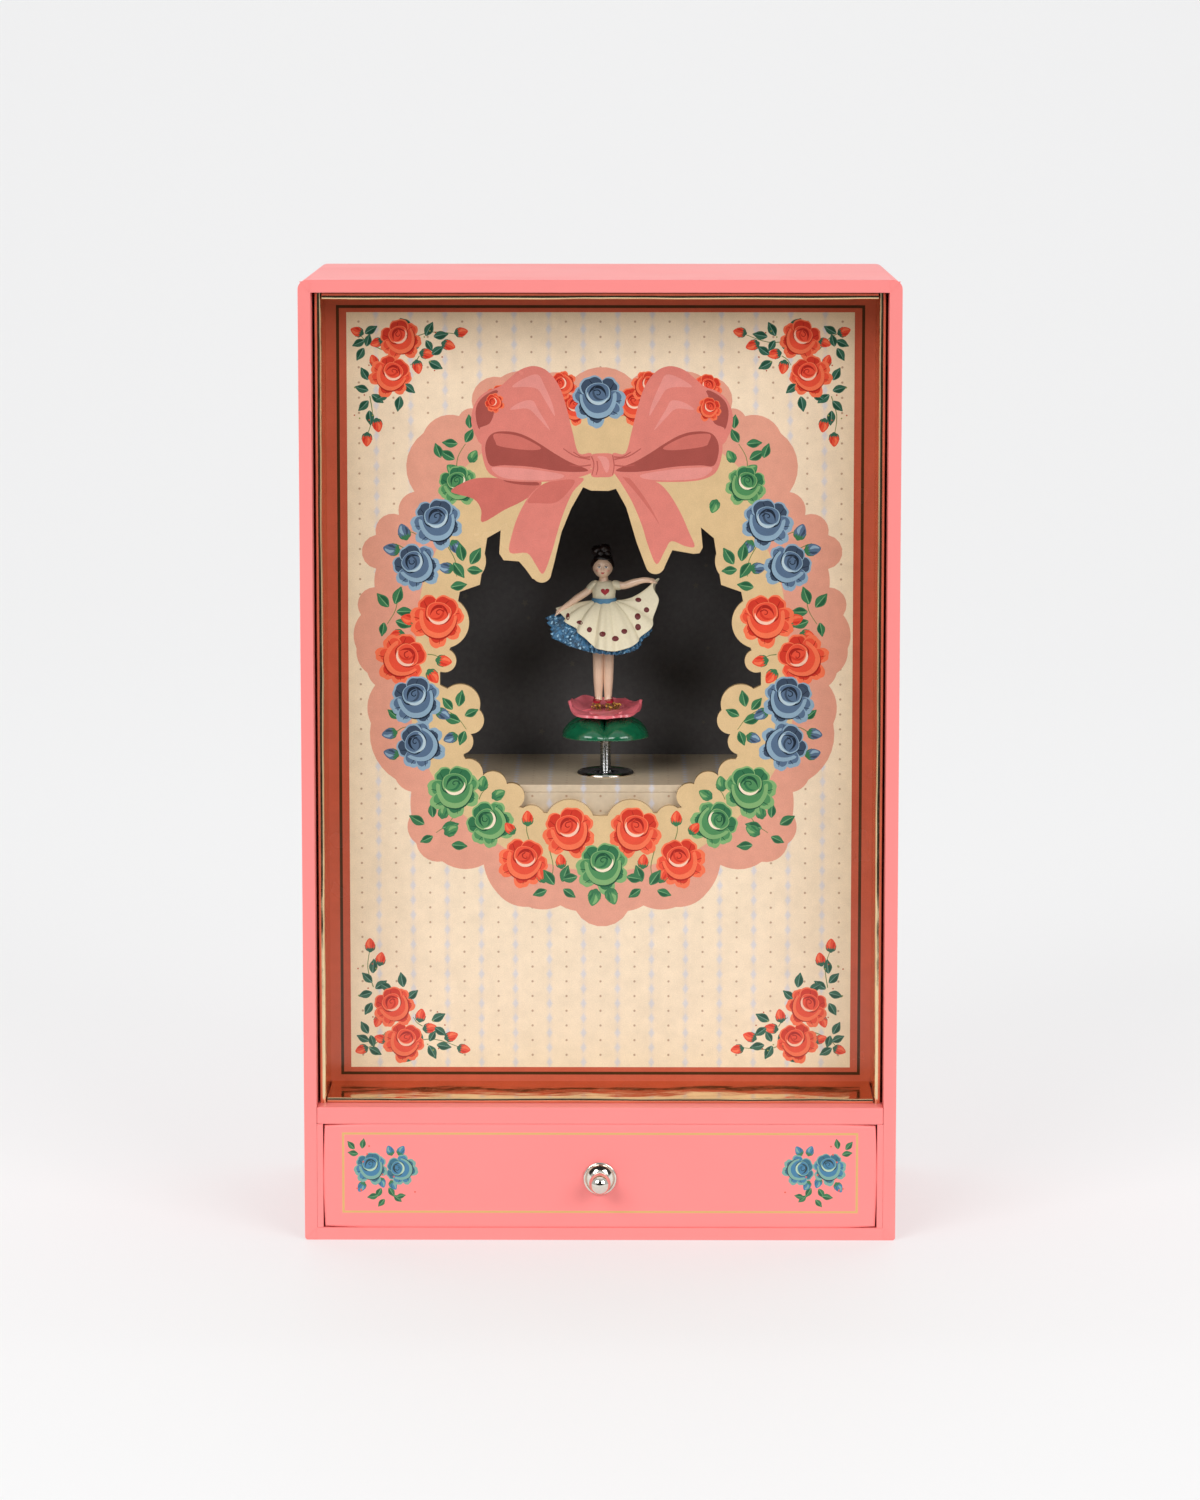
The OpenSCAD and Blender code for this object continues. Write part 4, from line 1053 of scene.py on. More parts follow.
def bow(art):
    """A ribbon bow: two standing loops, two open loops in front, a knot and three tails."""
    for side, flip in ((1, False), (-1, True)):

        def fill(shapes):
            for tone, points in shapes:
                art.add(smooth([(WREATH_X + side * x, z) for x, z in points]), RIBBON[tone])

        fill(TAILS[flip] + STANDING_LOOP)
        x, z, r, angle = LOOP_ROSES[flip]
        rose(art, WREATH_X + x, z, r, angle, ORANGE, flip)
        fill(OPEN_LOOP)
        for line in CREASES:
            points = [(WREATH_X + side * x, z) for x, z in line]
            art.add(stroke(smooth(points, closed=False), 0.3, 0.45), RIBBON["line"])
    art.add(smooth(moved(KNOT, WREATH_X, 0)), RIBBON["mid"])
    art.add(smooth(moved(KNOT_SHINE, WREATH_X, 0), 3), RIBBON["light"])
    for line in KNOT_CREASES:
        art.add(stroke(smooth(moved(line, WREATH_X, 0), closed=False), 0.4, 0.25), RIBBON["line"])


def corner_spray(art, x, z, flip_x, flip_z):
    """Two roses with buds and leaves that fill one corner; x, z is the corner of the wallpaper."""
    sx, sz = (-1 if flip_x else 1), (-1 if flip_z else 1)

    def at(u, v):
        return x + sx * u, z - sz * v

    plant(art, SPRAY, at, lambda a: sz * (180 - a if flip_x else a), flip_x, LEAF_COOL, rose_side=sz)
    rng = random.Random(5)
    for i in range(16):
        u_span, v_span = ((3, 9), (14, 36)) if i % 2 else ((20, 32), (4, 20))
        u, v = rng.uniform(*u_span), rng.uniform(*v_span)
        art.add(dot(*at(u, v), 0.28), ink("b5563f") if i % 3 else ink("8f9a54"))


# The printed margin's brown line, and the wallpaper inside it
MARGIN_LINE = (-84.9, 84.9, 47.3, 299.3, 0.95)
WALLPAPER = (-81.6, 49.8, 81.6, 297)
SPRAY_X, SPRAY_LOW, SPRAY_HIGH = 82.2, 49.4, 297


def panel_art(x0, x1, z0, z1):
    """The scene panel's print, over the rectangle x0 to x1 and z0 to z1."""
    art = Art()
    art.add(rectangle(x0, z0, x1, z1), ink("c25c45"))
    for band in frame_band(*MARGIN_LINE):
        art.add(band, ink("4a2d17"))
    art.add(rectangle(*WALLPAPER), ink("edd9bd"), 1.0)
    for flip_x, x in ((False, -SPRAY_X), (True, SPRAY_X)):
        for flip_z, z in ((False, SPRAY_HIGH), (True, SPRAY_LOW)):
            corner_spray(art, x, z, flip_x, flip_z)
    border = len(art.shapes)
    art.add(wreath_outline(), ink("dd9c86"))
    middle = MID_LINE + [(-x, z) for x, z in MID_LINE[-2:0:-1]]
    art.add(smooth(moved(middle, WREATH_X, 0), 5), ink("d8ba8c"))
    flower_ring(art)
    bow(art)
    art.shapes[border:] = [(moved(outline, 0, WREATH_RISE), colour, dotted)
                           for outline, colour, dotted in art.shapes[border:]]
    return art


def drawer_art(x0, x1, z0, z1):
    """The drawer front's print: a gold line, and a blue spray at each end."""
    art = Art()
    art.add(rectangle(x0, z0, x1, z1), PINK_PRINT)
    for band in frame_band(x0 + 5.6, x1 - 5.6, z0 + 4.5, z1 - 2.2, 0.7):
        art.add(band, ink("d8ab6c"))
    for side, flip in ((-1, False), (1, True)):

        def at(u, v):
            return side * (74.5 - u), 22.6 + v

        plant(art, DRAWER_SPRAY, at, lambda a: 180 - a if flip else a, flip)
        rose(art, *at(0.7, 1), 5.3, -side * 10, TEAL, flip, 0.4)
        rose(art, *at(10.6, 0.4), 5.0, 70, TEAL, flip, 2.2)
        rng = random.Random(8)
        for i in range(9):
            u, v = rng.uniform(-4, 15), rng.uniform(-11, 9)
            art.add(dot(*at(u, v), 0.3), ink("e0553f"))
    return art


def stars(x0, x1, z0, z1):
    """Dark paper strewn with small faint stars."""
    art = Art()
    art.add(rectangle(x0, z0, x1, z1), NIGHT_GREY)
    rng = random.Random(12)
    for i in range(54):
        x, z = rng.uniform(x0 + 3, x1 - 3), rng.uniform(z0 + 3, z1 - 3)
        size = rng.uniform(0.7, 1.5)
        turn = rng.uniform(0, 72)
        points = []
        for k in range(10):
            a = math.radians(turn + 36 * k)
            r = size * (0.42 if k % 2 else 1)
            points.append((x + r * math.cos(a), z + r * math.sin(a)))
        art.add(points, ink("6a635c") if i % 4 else ink("5f6068"))
    return art


# ---------- The case ----------

PINK = ink("f58b88")
FOIL_STEPS = 110


def dress_node(node, material, bevel):
    """A CAD node that keeps its shape and gets a finish, its hard edges softened by bevel millimetres."""
    obj = NODES[node]
    obj.data.materials.clear()
    obj.data.materials.append(material)
    if bevel:
        weld = obj.modifiers.new("weld", "WELD")
        weld.merge_threshold = 1e-6
        soft = obj.modifiers.new("soft_edge", "BEVEL")
        soft.width = bevel * MM
        soft.segments = 3
        soft.limit_method = "ANGLE"
        soft.angle_limit = math.radians(40)


def foil_board(node, name, finish, inner):
    """A board wrapped in foil, its inner face rolling in soft waves and its front edge rounded.

    inner is the way its mirror face looks: (1, 0) for +X, (0, -1) for -Z and so on, in X and Z.
    """
    low, high = box_mm(node)
    upright = inner[0] != 0
    thick = (high.x - low.x) if upright else (high.z - low.z)
    start, end = (low.z, high.z) if upright else (low.x, high.x)
    middle = low.y + thick / 2
    seed = 10 * len(name) + thick

    def wave(s, y, more=0):
        return noise.noise(Vector((s, y, seed + more)))

    def ring(s):
        """The board's outline across at s along it, each point placed back from the mirror face."""
        points = []
        for k in range(13):
            y = high.y + (middle - high.y) * k / 12
            roll = wave(s / 23, y / 30) * 0.30 + wave(s / 7, y / 12, 5) * 0.08
            points.append((y, 0.36 + min(1, (high.y - y) / 4) * roll))
        first = points[-1][1]
        bulge = wave(s / 11, 3) * 0.18
        for k in range(1, 8):
            a = math.pi * k / 8
            flat = math.copysign(abs(math.cos(a)) ** 0.62, math.cos(a))
            forward = math.sin(a) ** 0.62 * (thick / 2 + min(0, bulge))
            points.append((middle - forward, first + (thick - first) * (1 - flat) / 2))
        points += [(y, thick) for y in (middle, (low.y + high.y) / 2, high.y)]
        out = []
        for y, inward in points:
            inward = min(max(inward, 0), thick)
            if upright:
                out.append((high.x - inward if inner[0] > 0 else low.x + inward, y, s))
            else:
                out.append((s, y, high.z - inward if inner[1] > 0 else low.z + inward))
        return out

    build = Build()
    build.loft([ring(start + (end - start) * i / FOIL_STEPS) for i in range(FOIL_STEPS + 1)])
    build.object(name, finish, "case", "gold_foil_board", sharp=50, replaces=node)


def paper_turn_ins(finish):
    """The wrapping paper's folded ears at the case's front corners."""
    low, high = box_mm("case_shell")
    build = Build()
    rng = random.Random(3)
    for sx in (-1, 1):
        for sz, z in ((1, low.z), (-1, high.z)):
            x, y = high.x * sx, low.y - 0.02
            ear = [(x - sx * 0.5, z + sz * 0.5), (x - sx * 3.9, z + sz * 0.5),
                   (x - sx * (3.6 + rng.uniform(-0.2, 0.2)), z + sz * 3.7)]
            build.loft([[(p[0], y + d, p[1]) for p in ear] for d in (-0.1, 0.12)])
    build.object("paper_corner_folds", finish, "case", "wrapped_board", sharp=30)


# ---------- Metalwork ----------


def drawer_knob(finish):
    """A turned knob: a dished rosette with a rolled rim, a waisted neck and a ball."""
    low, high = box_mm("knob")
    mid = (low + high) / 2
    reach = high.y - low.y
    rim = (high.x - low.x) / 2
    roll, neck, ball = 0.55, 1.75, 3.45
    profile = [(0, 0), (rim - 0.5, 0)]
    for i in range(9):
        a = math.radians(-80 + 200 * i / 8)
        profile.append((rim - roll + roll * math.cos(a), roll + roll * math.sin(a)))
    profile += [(rim - 1.3, 0.75), (rim - 2.2, 0.95), (2.5, 1.35), (1.9, 2.0), (neck, 2.8)]
    start = math.asin(neck / ball)
    for i in range(30):
        a = start + (math.pi - start) * i / 30
        profile.append((ball * math.sin(a), reach - ball - ball * math.cos(a)))
    profile.append((0, reach))
    build = Build()
    build.lathe([(r, -h) for r, h in profile], (mid.x, high.y, mid.z), 96, axis="y")
    build.object("drawer_knob", finish, "drawer", "chromed_metal", sharp=40, replaces="knob")


def spindle_dish(chrome, black):
    """A black dish with a plated rolled rim, where the spindle comes up through the stage."""
    low, high = box_mm("spindle_escutcheon")
    outer = (high.x - low.x) / 2
    rim = [(outer - 1.3, 0), (outer - 0.2, 0), (outer, 0.35), (outer - 0.2, 0.85), (outer - 0.6, 1.12),
           (outer - 1.0, 1.0), (outer - 1.3, 0.6)]
    dish = [(3.0, 0), (outer - 1.35, 0), (outer - 1.35, 0.75), (outer - 2.2, 0.62), (5.2, 0.42), (3.9, 0.5),
            (3.3, 0.75), (3.0, 0.6)]
    for name, profile, finish, slot, node in (
            ("dish_rim", rim, chrome, "chromed_metal", "spindle_escutcheon"),
            ("dish_centre", dish, black, "black_plastic", None)):
        build = Build()
        build.lathe([(r, low.z + h) for r, h in profile], (*AXIS, 0), 120, closed=True)
        build.object(name, finish, "case", slot, sharp=50, replaces=node)


def spring_wire(finish):
    """The close-wound spring that the dancer stands on: one wire in a true helix, with closed ends."""
    low, high = box_mm("coil_spring")
    wire = 0.25
    radius = (high.x - low.x) / 2 - wire
    bottom, top = low.z + wire, high.z - wire
    turns, per_turn = 20, 20
    path = []
    for i in range(turns * per_turn + 1):
        t = i / (turns * per_turn)
        a = math.tau * turns * t
        path.append(at_axis(radius * math.cos(a), radius * math.sin(a), bottom + (top - bottom) * t))
    build = Build()
    build.tube(path, wire * 0.96, 10)
    coil = build.object("spring_wire", finish, None, "steel", replaces="coil_spring")
    foot, head = ((AXIS.x * MM, AXIS.y * MM, z * MM) for z in (low.z, high.z))
    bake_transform(coil)
    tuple(foot)
    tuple(head)


# ---------- The dancer ----------

SKIN = ink("e3bfa3")
CREAM = ink("ddd2b4")
NET_BLUE = ink("235a86")


def at_axis(x, y, z):
    """A place given from the spindle's axis."""
    return (AXIS.x + x, AXIS.y + y, z)


def leaf_base(finish):
    """Four broad waxy leaves round the foot, each domed over a raised mid-rib, with a groove at the front."""
    low, high = box_mm("leaf_base")
    reach = (high.x - low.x) / 2
    height = high.z - low.z
    quarter = 90
    cols, rows = 180, 22
    lip = 0.25

    def top(a, t):
        """Radius and height at angle a in degrees and at share t of the way out."""
        turn = a % quarter / quarter * 2 - 1
        lean = turn + 0.12 * math.sin(3 * t + a / 40)
        outline = reach * (1 - 0.13 * abs(turn) ** 3.2) * (0.985 + 0.015 * math.cos(math.radians(a * 2 + 30)))
        valley = 1 - 0.42 * abs(lean) ** 4 * min(1, t * 1.6)
        rib = 0.05 * math.exp(-(lean / 0.09) ** 2) * math.sin(math.pi * min(1, t * 1.05))
        vein = 0.018 * math.sin(9 * t * math.pi - abs(lean) * 5) * (1 - abs(lean)) * min(1, t * 2)
        dome = math.cos(math.radians(90 * t ** 2.2)) ** 0.75
        return outline * t, height * max(0.0, min(1.0, dome * valley + (rib + vein) * dome ** 0.3))

    def ring(t, settle):
        """The points at share t of the way out: settle turns their radius and height into the final ones."""
        out = []
        for i in range(cols):
            a = 360 * i / cols
            r, h = settle(*top(a, t))
            out.append(at_axis(r * math.cos(math.radians(a)), r * math.sin(math.radians(a)), low.z + h))
        return out

    shares = [0.04 + 0.96 * j / rows for j in range(rows, -1, -1)]
    upper = [ring(t, lambda r, h: (r, lip + min(h, height - lip))) for t in shares]
    foot = [(0.3, 1.1), (0.8, 0.7), (0.86, 0.0), (0.985, 0.0)]
    under = [ring(1.0, lambda r, _: (r * share, h)) for share, h in foot]
    build = Build()
    build.loft(under + upper, ink("18694a"))
    build.object("waxy_leaves", finish, "figure", "green_plastic", sharp=70, replaces="leaf_base")


# Each petal's angle, size, lift and half width, in degrees, shares of the flower and millimetres
PETALS = [(222, 1.0, 0.74, 9.4), (322, 0.97, 0.78, 9.4), (272, 0.8, 0.4, 6.0), (30, 0.95, 0.5, 9.4),
          (100, 1.0, 0.42, 9.4), (150, 0.93, 0.55, 9.4)]


def flower_petals(finish, heart_finish):
    """A rosette of fleshy petals that curl up round the dancer's feet, with gold stamens in its middle."""
    low, high = box_mm("flower")
    reach = (high.x - low.x) / 2
    span = high.z - low.z
    foot = 3.5
    build = Build()
    pinks = [ink(text) for text in ("e3727b", "dc6871", "e67f86", "d7626c", "e0757c")]
    for k, (angle, size, lift, width) in enumerate(PETALS):

        def petal(u, v):
            across = (u - 0.5) * 2
            wide = width * math.sin(math.pi * (0.18 + 0.62 * v)) ** 0.8
            x = foot + (reach * size - foot) * v - 1.7 * across * across * v
            y = wide * across * (1 - 0.1 * v)
            curl = span * 0.86 * lift * (0.12 + 0.88 * v ** 1.7)
            cup = 1.5 * across * across * (0.3 + v) * 0.6
            wave = 0.35 * math.sin(5 * across + k) * v + 0.2 * math.sin(9 * v + 2 * across)
            z = min(low.z + 0.6 + 0.35 * (k % 3) + curl + cup + wave, high.z - 0.1)
            a = math.radians(angle)
            px, py = x * math.cos(a) - y * math.sin(a), x * math.sin(a) + y * math.cos(a)
            front = min(1, max(0, (-py / reach - 0.1) / 0.7))
            sag = 0.86 * front * front * (3 - 2 * front)
            return at_axis(px, py, low.z + 0.5 + (z - low.z - 0.5) * (1 - sag))

        build.sheet(petal, 22, 20, 0.85, pinks[k % 5], round_u=False)
    cup = [(0, 0.1), (5.6, 0.1), (6.4, 0.9), (5.8, 1.9), (4.2, 2.4), (0, 2.6)]
    build.lathe([(r, low.z + h) for r, h in cup], (*AXIS, 0), 48, pinks[1])
    build.object("curled_petals", finish, "figure", "pink_plastic", sharp=60, replaces="flower")
    heart = Build()
    rng = random.Random(21)
    for _ in range(34):
        a = rng.uniform(0, math.tau)
        r = rng.uniform(2.4, 5.4)
        tall = rng.uniform(1.0, 2.1)
        base = at_axis(r * 0.8 * math.cos(a), r * 0.8 * math.sin(a), low.z + 2.2)
        tip = at_axis(r * math.cos(a), r * math.sin(a), low.z + 2.2 + tall)
        half_way = tuple((p + q) / 2 for p, q in zip(base, tip))
        heart.tube([base, half_way, tip], [0.16, 0.14, 0.12], 7, ink("8c6a2c"))
        heart.lathe([(0, -0.36), (0.26, -0.2), (0.36, 0), (0.26, 0.24), (0, 0.34)], tip, 9, ink("c99a3f"))
    heart.object("gold_stamens", heart_finish, "figure", "pink_plastic", sharp=60)


# The doll's heights are drawn from soles at DOLL_FOOT, and are then set on the CAD figure's soles
DOLL_FOOT = 160.8
DOLL_SCALE = 0.95
SOLES = box_mm("figure_body")[0].z
LEG_X = -0.7
HEAD = (-0.9, -0.2, 208.4)
HEAD_SIZE = (3.5, 3.6, 3.95)


def set_height(z):
    return SOLES + (z - DOLL_FOOT) * DOLL_SCALE


def on_doll(x, y, z):
    """A place on the doll, given from the spindle's axis and in her own heights."""
    return at_axis(x, y, set_height(z))


def on_head(x, y, z):
    return on_doll(HEAD[0] + x, HEAD[1] + y, HEAD[2] + z)


def ellipse_ring(cx, cy, z, rx, ry, n=28, wave=0.0):
    """A level oval on the doll, with 13 small waves."""

    def point(a):
        grow = 1 + wave * math.sin(13 * a)
        return on_doll(cx + rx * grow * math.cos(a), cy + ry * grow * math.sin(a), z)

    return turned(n, point)


def ball_rings(n, cols, point):
    """Rings from one pole of a ball to the other, without the poles: point(polar, a) gives their points."""
    return [turned(cols, lambda a: point(math.pi * j / n, a)) for j in range(1, n)]


def head_point(azimuth, polar):
    """A place on the doll's head from its middle: azimuth from the face's front, polar from the crown."""
    nx = math.sin(polar) * math.sin(azimuth)
    ny = -math.sin(polar) * math.cos(azimuth)
    nz = math.cos(polar)
    x, y, z = (size * n for size, n in zip(HEAD_SIZE, (nx, ny, nz)))
    front = max(0.0, -ny)
    if nz < 0:
        x *= 1 + 0.30 * nz * (0.5 + 0.5 * front)
        y *= 1 + 0.16 * nz * (1 - front)
    chin = 0.34 * front ** 3 * math.exp(-((nz + 0.62) / 0.22) ** 2)
    y -= chin
    if front > 0:
        nose = 0.62 * math.exp(-(nx / 0.13) ** 2) * math.exp(-((nz + 0.14) / 0.2) ** 2)
        y -= nose
        for side in (-1, 1):
            eye = 0.24 * math.exp(-((nx - side * 0.34) / 0.16) ** 2 - ((nz - 0.10) / 0.13) ** 2)
            cheek = 0.12 * math.exp(-((nx - side * 0.45) / 0.2) ** 2 - ((nz + 0.25) / 0.2) ** 2)
            y += eye - cheek
    return x, y, z


# Each neck ring's height and radius, and each leg ring's height, radii across and deep, and shift to the back
NECK = [(201.6, 2.5), (202.9, 1.9), (204, 1.5), (205.4, 1.4), (206.6, 1.5)]
LEG = [(161.9, 1.3, 1.6, -0.2), (163, 1.25, 1.35, 0), (165, 1.35, 1.45, 0.1), (168, 1.6, 1.75, 0.3),
       (171.5, 1.72, 1.95, 0.35), (175, 1.8, 1.9, 0.1), (179, 1.85, 1.9, 0), (183, 1.9, 1.9, 0)]
# Each arm's way from the shoulder to the wrist, and the way its hand points
ARMS = [([(-3.7, 0.2, 201.9), (-6.2, -0.4, 199.6), (-9.4, -1.4, 197.5), (-12.4, -2.2, 195.2),
          (-14.6, -2.6, 193.6)], (-0.78, -0.15, -0.6)),
        ([(3.0, 0.2, 202.2), (6.0, -0.3, 201.8), (9.4, -1.2, 203.0), (12.4, -1.9, 203.9),
          (14.6, -2.2, 203.9)], (0.93, -0.1, -0.2))]


def limb(build, points, radii, sides, squash=1.0):
    build.tube([on_doll(*p) for p in points], radii, sides, SKIN, squash)


def hand(build, wrist, way):
    """A palm with four bent fingers and a thumb."""
    limb(build, [wrist + way * d for d in (-0.4, 0.5, 1.3, 1.9)], [0.8, 1.0, 0.85, 0.45], 14, 0.7)
    for k in range(4):
        knuckle = wrist + way * 1.5 + Vector((0, 1, 0)) * (k - 1.5) * 0.42
        tip = knuckle + way * 0.9 + Vector((0, 0, -0.55))
        limb(build, [knuckle, (knuckle + tip) / 2 + Vector((0, 0, 0.12)), tip], [0.26, 0.25, 0.16], 8)
    thumb = wrist + way * 0.5 + Vector((0, -0.7, 0))
    bends = [thumb, thumb + way * 0.7 + Vector((0, -0.25, -0.2)), thumb + way * 1.2 + Vector((0, -0.1, -0.5))]
    limb(build, bends, [0.34, 0.32, 0.2], 8)


def dancer_body(finish):
    """Head, neck, arms and legs of the moulded doll."""
    build = Build()
    build.loft(ball_rings(52, 72, lambda polar, a: on_head(*head_point(a, polar))), SKIN)
    build.loft([ellipse_ring(-0.6, 0.2, z, r, r * 0.95) for z, r in NECK], SKIN)
    for side in (-1, 1):
        hip = LEG_X + side * 1.72
        lean = side * 0.06 / 8
        build.loft([ellipse_ring(hip - lean * (183 - z), dy, z, rx, ry, 26) for z, rx, ry, dy in LEG], SKIN)
    for places, way in ARMS:
        path = smooth(places, 5, False)
        shares = [i / (len(path) - 1) for i in range(len(path))]
        limb(build, path, [1.35 - 0.5 * t + 0.12 * math.exp(-((t - 0.45) / 0.15) ** 2) for t in shares], 18)
        hand(build, Vector(path[-1]), Vector(way).normalized())
    return build.object("doll_body", finish, "figure", "figure_plastic", sharp=70, replaces="figure_body")


def slippers(finish):
    """Red slippers, each with a strap over its instep."""
    build = Build()
    for side in (-1, 1):
        cx = LEG_X + side * 1.75
        sections = []
        for s in (t / 10 for t in range(11)):
            half = (1.9 - 1.1 * s ** 0.8) / 2
            wide = 1.45 * math.sin(math.pi * (0.2 + 0.62 * s)) ** 0.5
            sections.append(turned(20, lambda a: on_doll(
                cx + side * 0.4 * s + wide * math.cos(a), 1.9 - 5.6 * s,
                DOLL_FOOT + 0.35 + half + half * math.sin(a))))
        build.loft(sections, ink("a3182a"))
        strap = [(-1.3, -0.5, 1.9), (0, -1.1, 2.3), (1.3, -0.5, 1.9)]
        build.tube([on_doll(cx + x, y, DOLL_FOOT + z) for x, y, z in strap], 0.2, 8, ink("5c0f18"))
    build.object("red_slippers", finish, "figure", "figure_plastic", sharp=60)


def stamp(build, target, x, z, outline, rise, colour):
    """A raised patch of paint: outline, given from (x, z) on the axis, pressed onto target from the front."""

    def land(px, pz, up):
        hit, normal, _, _ = target.ray_cast(Vector(on_doll(px, -40, pz)), Vector((0, 1, 0)))
        return hit and tuple(hit + normal * up)

    top = [land(x + dx * 0.86, z + dz * 0.86, rise) for dx, dz in outline]
    foot = [land(x + dx, z + dz, -0.06) for dx, dz in outline]
    hubs = [land(x, z, rise * 1.35), land(x, z, -0.15)]
    if None in foot + top + hubs:
        return
    n = len(outline)
    faces = []
    for i in range(n):
        j = (i + 1) % n
        faces += [(i, j, n + j, n + i), (n + i, n + j, 2 * n), (j, i, 2 * n + 1)]
    build.add(foot + top + hubs, faces, colour)


def tree_of(obj):
    """A piece's surface for finding where paint lands, in millimetres."""
    verts = [tuple(c / MM for c in v.co) for v in obj.data.vertices]
    return BVHTree.FromPolygons(verts, [tuple(p.vertices) for p in obj.data.polygons])


def oval(rx, rz, n, bend=0.0):
    return turned(n, lambda a: (rx * math.cos(a), rz * math.sin(a) + bend * math.cos(a) ** 2))


HEART = turned(26, lambda t: (
    math.sin(t) ** 3, (13 * math.cos(t) - 5 * math.cos(2 * t) - 2 * math.cos(3 * t) - math.cos(4 * t)) / 16))
# The face's dabs of paint: place from the head's middle, half sizes, points, bend, rise and colour
EYE_DABS = [
    (1.15, 0.15, 0.62, 0.34, 16, 0, 0.03, "f4ece0"), (1.12, 0.13, 0.27, 0.3, 14, 0, 0.06, "43607a"),
    (1.12, 0.13, 0.13, 0.15, 12, 0, 0.08, "3a2620"), (1.15, 0.46, 0.68, 0.09, 16, -0.14, 0.06, "3a2620"),
    (1.18, 1.0, 0.72, 0.11, 16, -0.2, 0.04, "6b4634"), (1.75, -1.05, 0.62, 0.45, 16, 0, 0.015, "e8a58c"),
]
LIP_DABS = [(0, -1.78, 0.72, 0.2, 16, 0.1, 0.06, "b3262c"), (0, -2.0, 0.5, 0.2, 16, 0.06, 0.07, "c23238")]


def painted_face(body, finish):
    """Brows, eyes, cheeks and lips, as plain dabs of paint."""
    skin = tree_of(body)
    build = Build()
    for side, dabs in ((-1, EYE_DABS), (1, EYE_DABS + LIP_DABS)):
        for x, z, rx, rz, n, bend, rise, colour in dabs:
            stamp(build, skin, HEAD[0] + side * x, HEAD[2] + z, oval(rx, rz, n, bend), rise, ink(colour))
    build.object("painted_features", finish, "figure", "figure_plastic")


# The knot's coils of hair, from the crown: place, radius and start of the twist
COILS = [(-1.9, 0.2, 1.6, 1.75, 0.4), (0.6, 0.3, 1.9, 2.0, 1.9), (-0.6, 1.4, 1.2, 2.1, 3.0),
         (-0.7, -0.7, 0.6, 1.5, 0.9), (1.5, -0.3, 0.5, 1.2, 2.4)]
CROWN = 4.2


def hair(finish):
    """A dark cap of hair drawn up from the brow into a full knot, with a band round its foot."""
    build = Build()
    dark = ink("1e110e")

    def edge(azimuth):
        """How far down from the crown the hair comes, by the way it faces."""
        away = abs(math.atan2(math.sin(azimuth), math.cos(azimuth)))
        return math.radians(48 + 66 * min(1, max(0, away - 0.5)) ** 1.1)

    def strand(u, v):
        azimuth = math.tau * (1 - u)
        x, y, z = head_point(azimuth, max(0.05, v * edge(azimuth)))
        lift = 1.13 + 0.018 * math.sin(azimuth * 17 + 3 * math.sin(v * 4)) - 0.07 * v ** 4
        return on_head(x * lift, y * lift + 0.1, z * lift)

    build.sheet(strand, 96, 18, 0.5, dark)
    for cx, cy, cz, r, turn in COILS:

        def coil(polar, a):
            swirl = r * (1 + 0.07 * math.sin(5 * a + 7 * polar + turn) + 0.04 * math.sin(11 * a - 5 * polar))
            out = swirl * math.sin(polar)
            height = CROWN + cz + 0.86 * swirl * math.cos(polar)
            return on_head(cx + out * math.cos(a), cy + out * math.sin(a), height)

        build.loft(ball_rings(18, 30, coil), dark)
    band = turned(48, lambda a: on_head(
        2.75 * math.cos(a), 0.2 + 2.9 * math.sin(a), CROWN - 1.05 + 0.25 * math.sin(2 * a)))
    build.tube(band, 0.42, 10, ink("0d0809"), closed=True)
    build.object("hair_knot", finish, "figure", "hair_plastic", sharp=70, replaces="figure_hair")


WAIST_Z = 196.4
WAIST_X = -0.45
PLEATS, PLEAT_START = 11, 0.6
# The skirt's hem from the right hand round the back to the left hand and along the front, from the axis
SKIRT_HEM = [(16.6, -2.4, 204.2), (17.0, -0.6, 199.5), (14.6, 4.6, 190.5), (8.0, 9.6, 183.6),
             (0, 11.4, 181.4), (-8.0, 9.4, 183.8), (-13.4, 4.0, 188.6), (-15.6, -1.4, 193.6),
             (-13.8, -4.6, 191.0), (-10.8, -7.6, 188.4), (-7.0, -10.0, 185.2), (-3.6, -11.6, 181.9),
             (0.4, -12.3, 180.7), (4.6, -12.0, 180.8), (9.4, -10.6, 182.6), (12.8, -9.0, 186.0),
             (16.2, -6.4, 191.4), (16.9, -4.8, 197.4)]
NET_HEM = [(14.8, -1.6, 199.0), (14.2, 1.4, 192.5), (12.4, 5.6, 186.6), (7.2, 9.6, 181.6), (0, 11.6, 179.6),
           (-8.2, 10.0, 181.2), (-15.0, 5.0, 185.0), (-18.4, -0.6, 190.2), (-18.0, -4.4, 186.4),
           (-14.8, -7.6, 183.0), (-9.2, -9.8, 181.2), (-4.4, -11.0, 179.9), (0.6, -11.4, 179.3),
           (5.4, -11.2, 179.4), (10.2, -9.9, 181.0), (13.0, -8.2, 184.4), (15.0, -5.6, 189.0),
           (15.4, -3.6, 194.4)]
UNDER_HEM = [(x * 0.9, y * 0.9, z + 1.0) for x, y, z in NET_HEM]
# The bodice's rings: height, radii across and deep, and shift to the back
BODICE = [(195.6, 3.75, 3.1, 0), (197, 3.7, 3.0, 0), (198.6, 3.75, 3.15, -0.25), (200.2, 3.95, 3.35, -0.45),
          (201.6, 3.8, 3.05, -0.2), (202.7, 3.2, 2.5, 0.1), (203.4, 2.4, 2.1, 0.2)]
